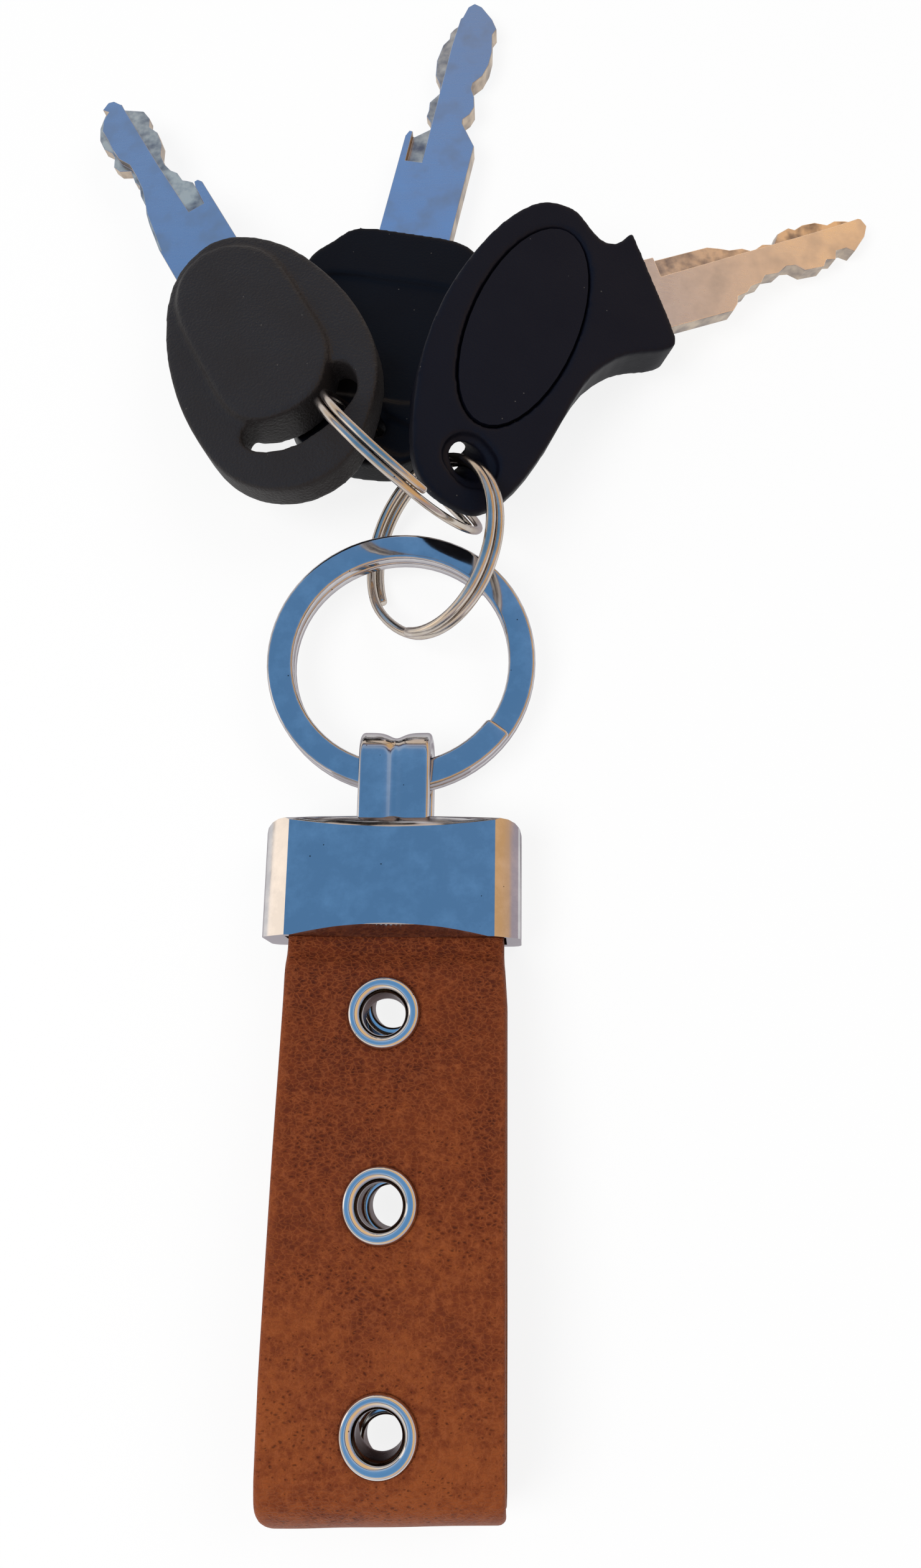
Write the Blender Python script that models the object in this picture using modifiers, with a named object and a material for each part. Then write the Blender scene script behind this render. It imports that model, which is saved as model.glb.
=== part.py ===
"""Leather key fob with its split rings and three keys, lying on a table.

Frame: metres, +Z up, the fob's flat back on z = 0. The origin is the middle of
the clamp's flat back, +Y points from the strap to the keys, +X to the right.
"""

import math

import bmesh
import bpy
import numpy as np
from mathutils import Matrix, Vector

MM = 0.001

# Clearances between pieces that touch
FIT = 0.3 * MM
TURN_GAP = 0.45 * MM

# Strap
STRAP_WIDTH = 25.4 * MM
STRAP_FLARE = 0.6 * MM  # extra width at the fold
STRAP_OFFSET = 0.6 * MM  # the strap sits a little to the clamp's right
SKIN = 1.35 * MM  # outer leather
LINING = 1.05 * MM
STRAP_THICK = SKIN + FIT + LINING
STRAP_LENGTH = 69.0 * MM  # clamp middle to the fold
STRAP_EDGE = 0.5 * MM  # edge rounding
STRAP_LIFT = 2.2 * MM  # back of the strap above the table where the clamp holds it
LAYER_GAP = 0.6 * MM  # front layer from back layer in the clamp

# Clamp
CLAMP_WIDTH = 30.8 * MM
CLAMP_LENGTH = 16.0 * MM
CLAMP_THICK = 10.3 * MM
CLAMP_FRONT_SAG = 0.35 * MM
CLAMP_BEVEL = 1.6 * MM
CLAMP_ROUND = 1.5 * MM
CLAMP_CHAMFER = 1.25 * MM
CLAMP_CROWN = 0.5 * MM  # rise of the top outline in its middle
CLAMP_END_WALL = 2.4 * MM  # behind the strap's ends, where the bail's stem sits
STRAP_IN_CLAMP = CLAMP_LENGTH - CLAMP_END_WALL
CLAMP_SCREW_SPAN = STRAP_WIDTH - 11.4 * MM
SCREW_HEAD = 3.4 * MM
SCREW_HEAD_THICK = 0.7 * MM
SCREW_SHANK = 1.8 * MM

# Eyelets, three in each layer
EYELET_HOLE = 4.9 * MM
EYELET_WALL = 0.4 * MM
EYELET_FLANGE = 8.4 * MM
EYELET_DOME = 0.6 * MM
WASHER_OUTER = 7.8 * MM
WASHER_THICK = 0.4 * MM
EYELET_ROLL = 0.35 * MM
EYELET_FROM_CLAMP = 7.4 * MM  # first eyelet from the clamp's mouth
EYELET_FROM_FOLD = 10.6 * MM  # last eyelet from the fold
EYELET_MIDDLE = 0.48  # where the middle one stands between them
BACK_EYELET_SLIPS = (-1.2 * MM, 0.7 * MM, 2.5 * MM)  # each back eyelet past the front one, toward the fold
# Each eyelet from the middle of the strap's width, to the right: the punch wandered a little
FRONT_EYELET_SIDES = (-0.85 * MM, -0.4 * MM, 0.25 * MM)
BACK_EYELET_SIDES = (-0.35 * MM, 0, 0.15 * MM)
EYELET_FLAT = EYELET_FLANGE / 2 + FIT  # the leather lies straight this far each way from an eyelet
# Height of the loop's outer surface at each eyelet, and its rise toward the fold
FRONT_SEATS = ((10.2 * MM, 0.12), (12.5 * MM, 0.08), (13.6 * MM, -0.03))
BACK_SEATS = ((1.15 * MM, -0.01), (1.0 * MM, -0.01), (1.1 * MM, 0.03))

# Bail, the lobed loop on the clamp that carries the large ring
BAIL_WIDTH = 8.7 * MM
BAIL_HEIGHT = 9.8 * MM
BAIL_DEPTH = 8.9 * MM
BAIL_WALL = 1.6 * MM
BAIL_VALLEY = 0.55 * MM
BAIL_CORNER = 3.0 * MM
BAIL_CENTRE_Z = 5.0 * MM
BAIL_STEM = (5.0 * MM, 3.0 * MM)  # across and deep
STEM_LENGTH = 1.6 * MM

# Large flat ring, two turns of flat wire
RING_OUTER = 17.0 * MM  # radius
RING_BAND = 3.4 * MM
RING_TURN = 1.4 * MM
RING_CHAMFER = 0.32 * MM
RING_PLAY = 1.2 * MM  # from the bail's far wall to the ring's band
RING_HINGE = 0.3 * MM  # the line it turns about, inward from the middle of its band
RING_Z = BAIL_CENTRE_Z
RING_TOP_END = -37.0  # degrees
RING_CROSSING = 82.0  # degrees over which the band steps down a layer

# Small round-wire rings
WIRE = 1.25 * MM
RING_A_RADIUS = 11.3 * MM
RING_A_FROM_LARGE = Vector((3.95, -3.1, 4.3)) * MM  # its centre from the large ring's far edge
RING_A_TILT = 44.0  # degrees, its right side up
RING_A_END = 252.0
RING_A_CROSSING = 50.0
RING_A_HINGE = 3.5 * MM  # where it rests on the large ring, across the page
RING_B_RADIUS = 12.6 * MM
RING_B_FROM_A = Vector((-3.95, 9.45, 3.55)) * MM  # its centre from the first small ring's
RING_B_HEADING = -45.3  # degrees, the way its plane runs across the page
RING_B_LEAN = 22.0  # degrees from upright, toward the strap
RING_B_END = 48.0
RING_B_CROSSING = 93.0
RING_B_ON_A = 115.0  # degrees round the first small ring

# Keys
BLADE_THICK = 2.4 * MM
BLADE_INSERT = 7.5 * MM
SOCKET_PAST = 10.0 * MM  # a socket's cutter runs this far past the head's end
GROOVE_DEPTH = 1.0 * MM
RIM_ROUND = 0.9 * MM


def collection(name):
    made = bpy.data.collections.new(name)
    bpy.context.scene.collection.children.link(made)
    return made


def clear_scene():
    for item in list(bpy.data.objects):
        bpy.data.objects.remove(item, do_unlink=True)


def hex_linear(code):
    channels = [int(code[i:i + 2], 16) / 255 for i in (0, 2, 4)]
    return [c / 12.92 if c <= 0.04045 else ((c + 0.055) / 1.055) ** 2.4 for c in channels] + [1.0]


def finish(obj, colour, roughness, metallic):
    material = bpy.data.materials.new(obj.name)
    material.use_nodes = True
    shader = material.node_tree.nodes["Principled BSDF"]
    shader.inputs["Base Color"].default_value = hex_linear(colour)
    shader.inputs["Roughness"].default_value = roughness
    shader.inputs["Metallic"].default_value = metallic
    obj.data.materials.clear()
    obj.data.materials.append(material)


def nickel(obj):
    finish(obj, "C9CDD2", 0.18, 1.0)


def steel(obj):
    finish(obj, "B9BCC0", 0.3, 1.0)


def black_plastic(obj):
    finish(obj, "191A1E", 0.55, 0.0)


def leather(obj):
    finish(obj, "8A431C", 0.5, 0.0)


def make_object(name, mesh, group):
    obj = bpy.data.objects.new(name, mesh)
    group.objects.link(obj)
    return obj


def to_mesh(obj):
    """The curve object as a welded mesh object in its place, under the same name."""
    bpy.context.view_layer.update()
    evaluated = obj.evaluated_get(bpy.context.evaluated_depsgraph_get())
    mesh = bpy.data.meshes.new_from_object(evaluated)
    welded = bmesh.new()
    welded.from_mesh(mesh)
    bmesh.ops.remove_doubles(welded, verts=welded.verts, dist=1e-6)
    bmesh.ops.recalc_face_normals(welded, faces=welded.faces)
    welded.to_mesh(mesh)
    welded.free()
    name = obj.name
    place = obj.matrix_world.copy()
    group = obj.users_collection[0]
    curve = obj.data
    bpy.data.objects.remove(obj, do_unlink=True)
    bpy.data.curves.remove(curve)
    solid = make_object(name, mesh, group)
    mesh.name = name
    solid.matrix_world = place
    return solid


def plate(name, outline, thick, group, middle=0.0):
    """A flat outline (metres, local XY) extruded to a plate about local z = middle."""
    curve = bpy.data.curves.new(name, "CURVE")
    curve.dimensions = "2D"
    curve.fill_mode = "BOTH"
    curve.extrude = thick / 2
    spline = curve.splines.new("POLY")
    spline.points.add(len(outline) - 1)
    for point, (x, y) in zip(spline.points, outline):
        point.co = (x, y, 0, 1)
    spline.use_cyclic_u = True
    obj = make_object(name, curve, group)
    solid = to_mesh(obj)
    solid.data.transform(Matrix.Translation((0, 0, middle)))
    return solid


def smooth(points, steps=4):
    """Points of a smooth closed curve through the outline's own points, in metres."""
    fixed = [np.array(p, float) * MM for p in points]
    count = len(fixed)
    out = []
    for i in range(count):
        p0, p1, p2, p3 = (fixed[(i + k - 1) % count] for k in range(4))
        for k in range(steps):
            t = k / steps
            out.append(0.5 * (2 * p1 + (p2 - p0) * t + (2 * p0 - 5 * p1 + 4 * p2 - p3) * t ** 2
                              + (3 * p1 - p0 - 3 * p2 + p3) * t ** 3))
    return [(float(p[0]), float(p[1])) for p in out]


def in_mm(points):
    return [(x * MM, y * MM) for x, y in points]


def ellipse(centre, major, minor, lean, count=40):
    """Outline of an ellipse whose major axis leans from +Y toward +X by lean degrees."""
    turn = math.radians(lean)
    out = []
    for i in range(count):
        angle = 2 * math.pi * i / count
        along, across = major * math.sin(angle), minor * math.cos(angle)
        out.append((centre[0] + along * math.sin(turn) + across * math.cos(turn),
                    centre[1] + along * math.cos(turn) - across * math.sin(turn)))
    return out


def slot_outline(centre, length, width, angle, count=8):
    """Outline of a slot with round ends, its length along angle degrees from +X."""
    turn = math.radians(angle)
    out = []
    for side in (0, 1):
        for i in range(count + 1):
            a = -math.pi / 2 + math.pi * i / count + math.pi * side
            x = (length - width) / 2 * (1 - 2 * side) + width / 2 * math.cos(a)
            y = width / 2 * math.sin(a)
            out.append((centre[0] + x * math.cos(turn) - y * math.sin(turn),
                        centre[1] + x * math.sin(turn) + y * math.cos(turn)))
    return out


def cutter(obj):
    obj.hide_render = True
    obj.display_type = "WIRE"
    return obj


def boolean(obj, other, operation="DIFFERENCE"):
    modifier = obj.modifiers.new(other.name, "BOOLEAN")
    modifier.operation = operation
    modifier.solver = "EXACT"
    modifier.object = other
    cutter(other)


def round_edges(obj, width, segments=2, angle=40):
    modifier = obj.modifiers.new("edges", "BEVEL")
    modifier.width = width
    modifier.segments = segments
    modifier.limit_method = "ANGLE"
    modifier.angle_limit = math.radians(angle)


def turned(name, profile, group, steps=24):
    """A ring or stud turned about local Z from a closed profile of (radius, height) points."""
    mesh = bpy.data.meshes.new(name)
    shape = bmesh.new()
    verts = [shape.verts.new((r, 0, z)) for r, z in profile]
    for a, b in zip(verts, verts[1:]):
        shape.edges.new((a, b))
    if profile[0][0] > 1e-9:
        shape.edges.new((verts[-1], verts[0]))
    shape.to_mesh(mesh)
    shape.free()
    obj = make_object(name, mesh, group)
    screw = obj.modifiers.new("turn", "SCREW")
    screw.axis = "Z"
    screw.steps = steps
    screw.render_steps = steps
    screw.use_merge_vertices = True
    screw.merge_threshold = 1e-6
    return obj


def shade(obj, angle=40):
    obj.data.shade_smooth()
    obj.data.set_sharp_from_angle(angle=math.radians(angle))


def eyelet_stations():
    """Distance of each eyelet from the clamp's middle, the clamp's end first."""
    first = CLAMP_LENGTH / 2 + EYELET_FROM_CLAMP
    last = STRAP_LENGTH - EYELET_FROM_FOLD
    return first, first + (last - first) * EYELET_MIDDLE, last


def back_stations():
    return tuple(station + slip for station, slip in zip(eyelet_stations(), BACK_EYELET_SLIPS))


# The strap's side view: the loop's outer surface from the clamp, along the front,
# round the fold and back along the table, as (y, z) points in metres.
def seat_ends(station, seat):
    """The two ends of the straight stretch that an eyelet sits on, clamp side first."""
    height, rise = seat
    return [(-station + EYELET_FLAT, height - rise * EYELET_FLAT), (-station - EYELET_FLAT, height + rise * EYELET_FLAT)]


def strap_surface():
    top_in_clamp = STRAP_LIFT + 2 * STRAP_THICK + LAYER_GAP
    inside = STRAP_IN_CLAMP - CLAMP_LENGTH / 2
    mouth = -CLAMP_LENGTH / 2
    front_1, front_2, front_3 = (seat_ends(s, seat) for s, seat in zip(eyelet_stations(), FRONT_SEATS))
    back_1, back_2, back_3 = (seat_ends(s, seat)[::-1] for s, seat in zip(back_stations(), BACK_SEATS))
    belly = (back_3[1][0] + back_2[0][0]) / 2  # where the back touches the table
    front_end, back_end = front_3[1], back_3[0]
    # the fold hangs lowest past the last back eyelet, where the leather bends tighter
    front_reach, back_reach = front_end[0] + STRAP_LENGTH, back_end[0] + STRAP_LENGTH
    drop = front_end[1] - back_end[1]
    fold = [(front_end[0] - front_reach * 0.66, front_end[1] - drop * 0.17),
            (-STRAP_LENGTH, back_end[1] + drop * 0.35),
            (back_end[0] - back_reach * 0.66, back_end[1] + drop * 0.11)]
    knots = [(inside, top_in_clamp), (mouth * 0.5, top_in_clamp), (mouth, top_in_clamp + 0.1 * MM)]
    knots += front_1 + front_2 + front_3 + fold + back_3 + [(belly, 0)] + back_2 + back_1
    knots += [(mouth, STRAP_LIFT - 0.1 * MM), (mouth * 0.5, STRAP_LIFT), (inside, STRAP_LIFT)]
    straight = [pair[0] for pair in (front_1, front_2, front_3, back_3, back_2, back_1)]
    knots = [np.array(p, float) for p in knots]
    ends = [2 * knots[0] - knots[1]] + knots + [2 * knots[-1] - knots[-2]]
    points = []
    for i in range(1, len(ends) - 2):
        p0, p1, p2, p3 = ends[i - 1:i + 3]
        steps = 1 if tuple(p1) in straight else 4
        for k in range(steps):
            t = k / steps
            points.append(0.5 * (2 * p1 + (p2 - p0) * t + (2 * p0 - 5 * p1 + 4 * p2 - p3) * t ** 2
                                 + (3 * p1 - p0 - 3 * p2 + p3) * t ** 3))
    points.append(knots[-1])
    return np.array(points)


def inward_normals(points):
    """Unit normals toward the inside of the loop at each point of the side view."""
    along = np.gradient(points, axis=0)
    along /= np.linalg.norm(along, axis=1)[:, None]
    return np.stack([-along[:, 1], along[:, 0]], axis=1)


def strap_layer(name, start, thick, group):
    """One leather layer, from start to start + thick below the loop's outer surface."""
    surface = strap_surface()
    inward = inward_normals(surface)
    outer = surface + inward * start
    inner = surface + inward * (start + thick)
    outline = [tuple(p) for p in outer] + [tuple(p) for p in inner[::-1]]
    solid = plate(name, outline, STRAP_WIDTH, group)
    # local x, y of the plate become world Y, Z, and its thickness runs along world X
    solid.data.transform(Matrix(((0, 0, 1, 0), (1, 0, 0, 0), (0, 1, 0, 0), (0, 0, 0, 1))))
    for vert in solid.data.vertices:
        down = min(1.0, max(0.0, -vert.co.y / STRAP_LENGTH))
        vert.co.x = STRAP_OFFSET + vert.co.x * (1 + STRAP_FLARE / STRAP_WIDTH * down)
    return solid


def eyelet_frame(station, seat, aside, side):
    """Place of an eyelet: origin on the loop's outer surface, local +Z out of the leather.

    side is 1 on the front layer and -1 on the back layer.
    """
    height, rise = seat
    out = Vector((0, rise, 1)).normalized() * side
    across = Vector((1, 0, 0))
    along = out.cross(across)
    frame = Matrix((across, along, out)).transposed().to_4x4()
    frame.translation = Vector((STRAP_OFFSET + aside, -station, height))
    return frame


def make_strap(group, cutters):
    skin = strap_layer("strap_leather", 0, SKIN, group)
    lining = strap_layer("strap_lining", SKIN + FIT, LINING, group)
    for solid in (skin, lining):
        round_edges(solid, STRAP_EDGE if solid is skin else 0.25 * MM, 2 if solid is skin else 1, 60)
    bore = EYELET_HOLE / 2 + EYELET_WALL + FIT
    cut = [(0, STRAP_THICK), (bore, STRAP_THICK), (bore, -1.4 * STRAP_THICK), (0, -1.4 * STRAP_THICK)]
    for layer, stations, seats, asides, side in (
            ("front", eyelet_stations(), FRONT_SEATS, FRONT_EYELET_SIDES, 1),
            ("back", back_stations(), BACK_SEATS, BACK_EYELET_SIDES, -1)):
        for number, (station, seat, aside) in enumerate(zip(stations, seats, asides), 1):
            frame = eyelet_frame(station, seat, aside, side)
            hole = turned(f"hole_{layer}_{number}", cut, cutters)
            hole.matrix_world = frame
            boolean(skin, hole)
            boolean(lining, hole)
            make_eyelet(f"eyelet_{layer}_{number}", frame, group)
            make_washer(f"washer_{layer}_{number}", frame, group)
    leather(skin)
    finish(lining, "5E2E14", 0.8, 0.0)


def make_eyelet(name, frame, group):
    inner = EYELET_HOLE / 2
    barrel = inner + EYELET_WALL
    flange = EYELET_FLANGE / 2
    under = FIT
    washer = -STRAP_THICK - FIT
    roll = washer - WASHER_THICK - FIT
    profile = [(inner, under + EYELET_DOME * 0.5), (inner + 0.4 * MM, under + EYELET_DOME),
               (flange - 0.7 * MM, under + EYELET_DOME * 0.85), (flange, under), (barrel, under), (barrel, roll),
               (barrel + 0.7 * MM, roll), (barrel + 0.7 * MM, roll - EYELET_ROLL), (inner, roll - EYELET_ROLL)]
    obj = turned(name, profile, group)
    obj.matrix_world = frame
    nickel(obj)


def make_washer(name, frame, group):
    inner = EYELET_HOLE / 2 + EYELET_WALL + FIT
    top = -STRAP_THICK - FIT
    profile = [(inner, top), (WASHER_OUTER / 2, top), (WASHER_OUTER / 2, top - WASHER_THICK),
               (inner, top - WASHER_THICK)]
    obj = turned(name, profile, group)
    obj.matrix_world = frame
    nickel(obj)


def clamp_section():
    """The clamp's outline seen along Y: width by thickness, front at the top."""
    half, thick = CLAMP_WIDTH / 2, CLAMP_THICK
    face = half - CLAMP_BEVEL - CLAMP_ROUND
    shoulder = thick - CLAMP_FRONT_SAG
    right = []
    for i in range(5):
        x = face * i / 4
        right.append((x, thick - CLAMP_FRONT_SAG * (x / face) ** 2))
    bevel_z = shoulder - CLAMP_BEVEL * 0.7
    right.append((face + CLAMP_BEVEL, bevel_z))
    for i in range(1, 5):
        a = math.radians(60 * (1 - i / 4))
        right.append((half - CLAMP_ROUND + CLAMP_ROUND * math.cos(a),
                      bevel_z - 1.9 * MM + CLAMP_ROUND * math.sin(a)))
    for i in range(5):
        a = math.radians(-90 * i / 4)
        right.append((half - CLAMP_ROUND + CLAMP_ROUND * math.cos(a), CLAMP_ROUND + CLAMP_ROUND * math.sin(a)))
    left = [(-x, z) for x, z in right[::-1] if x > 1e-9]
    return right + left


def clamp_side():
    """The clamp's outline seen along X: length by thickness, with its chamfers."""
    low, high, thick, cut = -CLAMP_LENGTH / 2, CLAMP_LENGTH / 2, CLAMP_THICK, CLAMP_CHAMFER
    return [(low, 0.6 * MM), (low + 0.6 * MM, 0), (high - 0.6 * MM, 0), (high, 0.6 * MM),
            (high, thick - cut), (high - cut * 0.85, thick + 0.2 * MM), (low + cut * 1.05, thick + 0.2 * MM),
            (low, thick - cut)]


def clamp_plan():
    """The clamp's outline seen from the front: its crowned top and round corners."""
    half, length, corner = CLAMP_WIDTH / 2, CLAMP_LENGTH / 2, 1.6 * MM
    top = [(x, length - CLAMP_CROWN * (x / half) ** 2) for x in np.linspace(-half + corner, half - corner, 13)]
    edge_top = length - CLAMP_CROWN
    right = [(half - corner * (1 - math.cos(a)), edge_top - corner * (1 - math.sin(a)))
             for a in np.radians([60, 30, 0])]
    bottom = [(half - corner * (1 - math.cos(a)), -length + corner * (1 + math.sin(a)))
              for a in np.radians([0, -30, -60, -90])]
    outline = top + right + bottom
    outline += [(-x, y) for x, y in reversed(right + bottom)]
    return outline


def make_clamp(group, cutters):
    cap = plate("clamp_cap", clamp_section(), CLAMP_LENGTH + 4 * MM, group)
    cap.data.transform(Matrix.Rotation(math.radians(90), 4, "X"))
    side = plate("clamp_side", clamp_side(), CLAMP_WIDTH + 4 * MM, cutters)
    side.data.transform(Matrix(((0, 0, 1, 0), (1, 0, 0, 0), (0, 1, 0, 0), (0, 0, 0, 1))))
    boolean(cap, side, "INTERSECT")
    plan = plate("clamp_plan", clamp_plan(), CLAMP_THICK + 4 * MM, cutters, CLAMP_THICK / 2)
    boolean(cap, plan, "INTERSECT")
    low = STRAP_LIFT - FIT
    high = STRAP_LIFT + 2 * STRAP_THICK + LAYER_GAP + FIT
    pocket_top = STRAP_IN_CLAMP - CLAMP_LENGTH / 2 + FIT
    bottom = -CLAMP_LENGTH / 2 - 1 * MM
    width = STRAP_WIDTH + STRAP_FLARE * CLAMP_LENGTH / 2 / STRAP_LENGTH + 2 * FIT
    pocket = box("clamp_pocket", (width, pocket_top - bottom, high - low),
                 (STRAP_OFFSET, (pocket_top + bottom) / 2, (low + high) / 2), cutters)
    boolean(cap, pocket)
    stem = box("clamp_stem_slot", (BAIL_STEM[0] + 2 * FIT, CLAMP_LENGTH, BAIL_STEM[1] + 2 * FIT),
               (0, CLAMP_LENGTH, BAIL_CENTRE_Z), cutters)
    stem.location.y = CLAMP_LENGTH / 2 - STEM_LENGTH - FIT + CLAMP_LENGTH / 2
    boolean(cap, stem)
    for number, sign in ((1, -1), (2, 1)):
        make_clamp_screw(number, sign * CLAMP_SCREW_SPAN / 2, low, group, cutters, cap)
    nickel(cap)


def make_clamp_screw(number, x, wall, group, cutters, cap):
    """A flat-headed screw through the clamp's back wall into the leather."""
    head = SCREW_HEAD / 2
    shank = SCREW_SHANK / 2
    sink = 0.15 * MM  # the head sits below the back face
    base = sink + SCREW_HEAD_THICK
    tip = wall - 0.05 * MM
    screw = turned(f"clamp_screw_{number}", [(0, tip), (shank, tip), (shank, base), (head, base), (head, sink),
                                             (0, sink)], group, 24)
    screw.location = (x, 0, 0)
    bore = turned(f"clamp_bore_{number}", [(0, wall + 1 * MM), (shank + FIT, wall + 1 * MM),
                                           (shank + FIT, base + FIT), (head + FIT, base + FIT),
                                           (head + FIT, -1 * MM), (0, -1 * MM)], cutters, 24)
    bore.location = (x, 0, 0)
    boolean(cap, bore)
    steel(screw)


def box(name, size, centre, group):
    mesh = bpy.data.meshes.new(name)
    shape = bmesh.new()
    bmesh.ops.create_cube(shape, size=1)
    bmesh.ops.scale(shape, vec=size, verts=shape.verts)
    shape.to_mesh(mesh)
    shape.free()
    obj = make_object(name, mesh, group)
    obj.location = centre
    return obj


def bail_loop():
    """The middle line of the bail's wall in its side view, as (y, z) points."""
    low = CLAMP_LENGTH / 2 + FIT + BAIL_WALL / 2
    high = CLAMP_LENGTH / 2 + FIT + BAIL_HEIGHT - BAIL_WALL / 2
    front = BAIL_CENTRE_Z + (BAIL_DEPTH - BAIL_WALL) / 2
    back = BAIL_CENTRE_Z - (BAIL_DEPTH - BAIL_WALL) / 2
    points = []
    corners = [(high, front, BAIL_CORNER, 0), (low, front, 1.0 * MM, 90),
               (low, back, 1.0 * MM, 180), (high, back, BAIL_CORNER, 270)]
    for y, z, radius, start in corners:
        cy = y - radius if y == high else y + radius
        cz = z - radius if z == front else z + radius
        for i in range(5):
            a = math.radians(start + 90 * i / 4)
            points.append((cy + radius * math.cos(a), cz + radius * math.sin(a)))
    return points


def swept(name, points, section, cyclic, group, flat_twist):
    """A section (local x, y outline) swept along points; Z_UP keeps it level."""
    shape = bpy.data.curves.new(name + "_section", "CURVE")
    shape.dimensions = "2D"
    spline = shape.splines.new("POLY")
    spline.points.add(len(section) - 1)
    for point, (x, y) in zip(spline.points, section):
        point.co = (x, y, 0, 1)
    spline.use_cyclic_u = True
    guide = make_object(name + "_section", shape, group)
    path = bpy.data.curves.new(name, "CURVE")
    path.dimensions = "3D"
    path.twist_mode = "Z_UP" if flat_twist else "MINIMUM"
    path.bevel_mode = "OBJECT"
    path.bevel_object = guide
    path.use_fill_caps = not cyclic
    spline = path.splines.new("POLY")
    spline.points.add(len(points) - 1)
    for point, co in zip(spline.points, points):
        point.co = (*co, 1)
    spline.use_cyclic_u = cyclic
    obj = make_object(name, path, group)
    solid = to_mesh(obj)
    bpy.data.objects.remove(guide, do_unlink=True)
    bpy.data.curves.remove(shape)
    return solid


def bail_section():
    """Across the bail's wall: two lobes outside with a valley between, flat inside."""
    half, wall = BAIL_WIDTH / 2, BAIL_WALL / 2
    outer = [(half, -wall), (half, wall * 0.35), (half - 0.45 * MM, wall * 0.9), (half * 0.55, wall),
             (half * 0.2, wall - BAIL_VALLEY * 0.45), (0, wall - BAIL_VALLEY)]
    return outer + [(-x, y) for x, y in reversed(outer) if x > 1e-9]


def make_bail(group, cutters):
    # swept level with the table, then stood up so that the loop's plane is across X
    loop = [(y, z, 0) for y, z in bail_loop()]
    section = [(y, x) for x, y in bail_section()]
    bail = swept("bail", loop, section, True, group, True)
    bail.data.transform(Matrix(((0, 0, 1, 0), (1, 0, 0, 0), (0, 1, 0, 0), (0, 0, 0, 1))))
    base = CLAMP_LENGTH / 2 + FIT
    stem = box("bail_stem", (BAIL_STEM[0], STEM_LENGTH + FIT + BAIL_WALL * 0.6, BAIL_STEM[1]),
               (0, base - STEM_LENGTH - FIT + (STEM_LENGTH + FIT + BAIL_WALL * 0.6) / 2, BAIL_CENTRE_Z), cutters)
    boolean(bail, stem, "UNION")
    nickel(bail)


def layered_turn(radius, start, crossing, upward, step, extra=0.0):
    """Angles and layer heights of a wire that winds nearly twice.

    It keeps one layer until its own start comes round, steps over to the other
    layer across the crossing, and ends where that crossing began.
    """
    total = 720.0 - crossing
    knots = int(round(total / 360 * 24 * (1 + extra)))
    angles = [start + total * i / knots for i in range(knots + 1)]
    first, last = start + 360 - crossing, start + 360
    points = []
    for angle in angles:
        t = min(1.0, max(0.0, (angle - first) / (last - first)))
        t = t * t * (3 - 2 * t)
        a = math.radians(angle)
        points.append((radius * math.cos(a), radius * math.sin(a), upward * step * (0.5 - t)))
    return points


def least_gap(points, section_reach, skip):
    """The least distance between the wire's own turns, surface to surface."""
    fine = []
    for a, b in zip(points, points[1:]):
        for k in range(6):
            fine.append(np.array(a) + (np.array(b) - np.array(a)) * k / 6)
    fine = np.array(fine)
    best = 1e9
    for i in range(len(fine)):
        for j in range(i + skip * 6, len(fine)):
            best = min(best, float(np.linalg.norm(fine[i] - fine[j])))
    return best - section_reach


def wire_ring(name, radius, start, crossing, upward, group):
    points = layered_turn(radius, start, crossing, upward, WIRE + TURN_GAP)
    print(name, "least gap between turns %.2f mm" % (least_gap(points, WIRE, 8) / MM))
    curve = bpy.data.curves.new(name, "CURVE")
    curve.dimensions = "3D"
    curve.bevel_depth = WIRE / 2
    curve.bevel_resolution = 1
    curve.use_fill_caps = True
    spline = curve.splines.new("POLY")
    spline.points.add(len(points) - 1)
    for point, co in zip(spline.points, points):
        point.co = (*co, 1)
    return to_mesh(make_object(name, curve, group))


def band_section():
    """Across one turn of the flat ring, with its broken corners."""
    wide, thick, cut = RING_BAND / 2, RING_TURN / 2, RING_CHAMFER
    return [(wide, -thick + cut), (wide, thick - cut), (wide - cut, thick), (-wide + cut, thick),
            (-wide, thick - cut), (-wide, -thick + cut), (-wide + cut, -thick), (wide - cut, -thick)]


def make_large_ring(group):
    middle = RING_OUTER - RING_BAND / 2
    # wound the other way round, so that the top turn's end points to its right
    wound = layered_turn(middle, -RING_TOP_END, RING_CROSSING, 1, RING_TURN + TURN_GAP, 0.7)
    points = [(x, -y, z) for x, y, z in wound]
    print("split_ring_large least gap between turns %.2f mm" % (least_gap(points, RING_TURN, 14) / MM))
    ring = swept("split_ring_large", points, band_section(), False, group, True)
    nickel(ring)
    return ring


def key_frame(wire, passes, slope, heading):
    """A key's own frame: x across it, y toward its tip, z out of its upper face.

    The ring's wire, at the point wire, goes through the key at passes in that frame.
    """
    up = Vector((-slope[0], -slope[1], 1)).normalized()
    ahead = Vector((math.cos(math.radians(heading)), math.sin(math.radians(heading)), 0))
    ahead = (ahead - up * up.dot(ahead)).normalized()
    across = ahead.cross(up)
    frame = Matrix((across, ahead, up)).transposed().to_4x4()
    frame.translation = wire - frame.to_3x3() @ passes
    return frame


def wire_hinge(frame, radius, degrees):
    """A frame on a ring's wire, its local X along the wire."""
    a = math.radians(degrees)
    turn = frame.to_3x3()
    out = turn @ Vector((math.cos(a), math.sin(a), 0))
    along = turn @ Vector((-math.sin(a), math.cos(a), 0))
    hinge = Matrix((along, out, along.cross(out))).transposed().to_4x4()
    hinge.translation = frame.translation + out * radius
    return hinge


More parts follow.
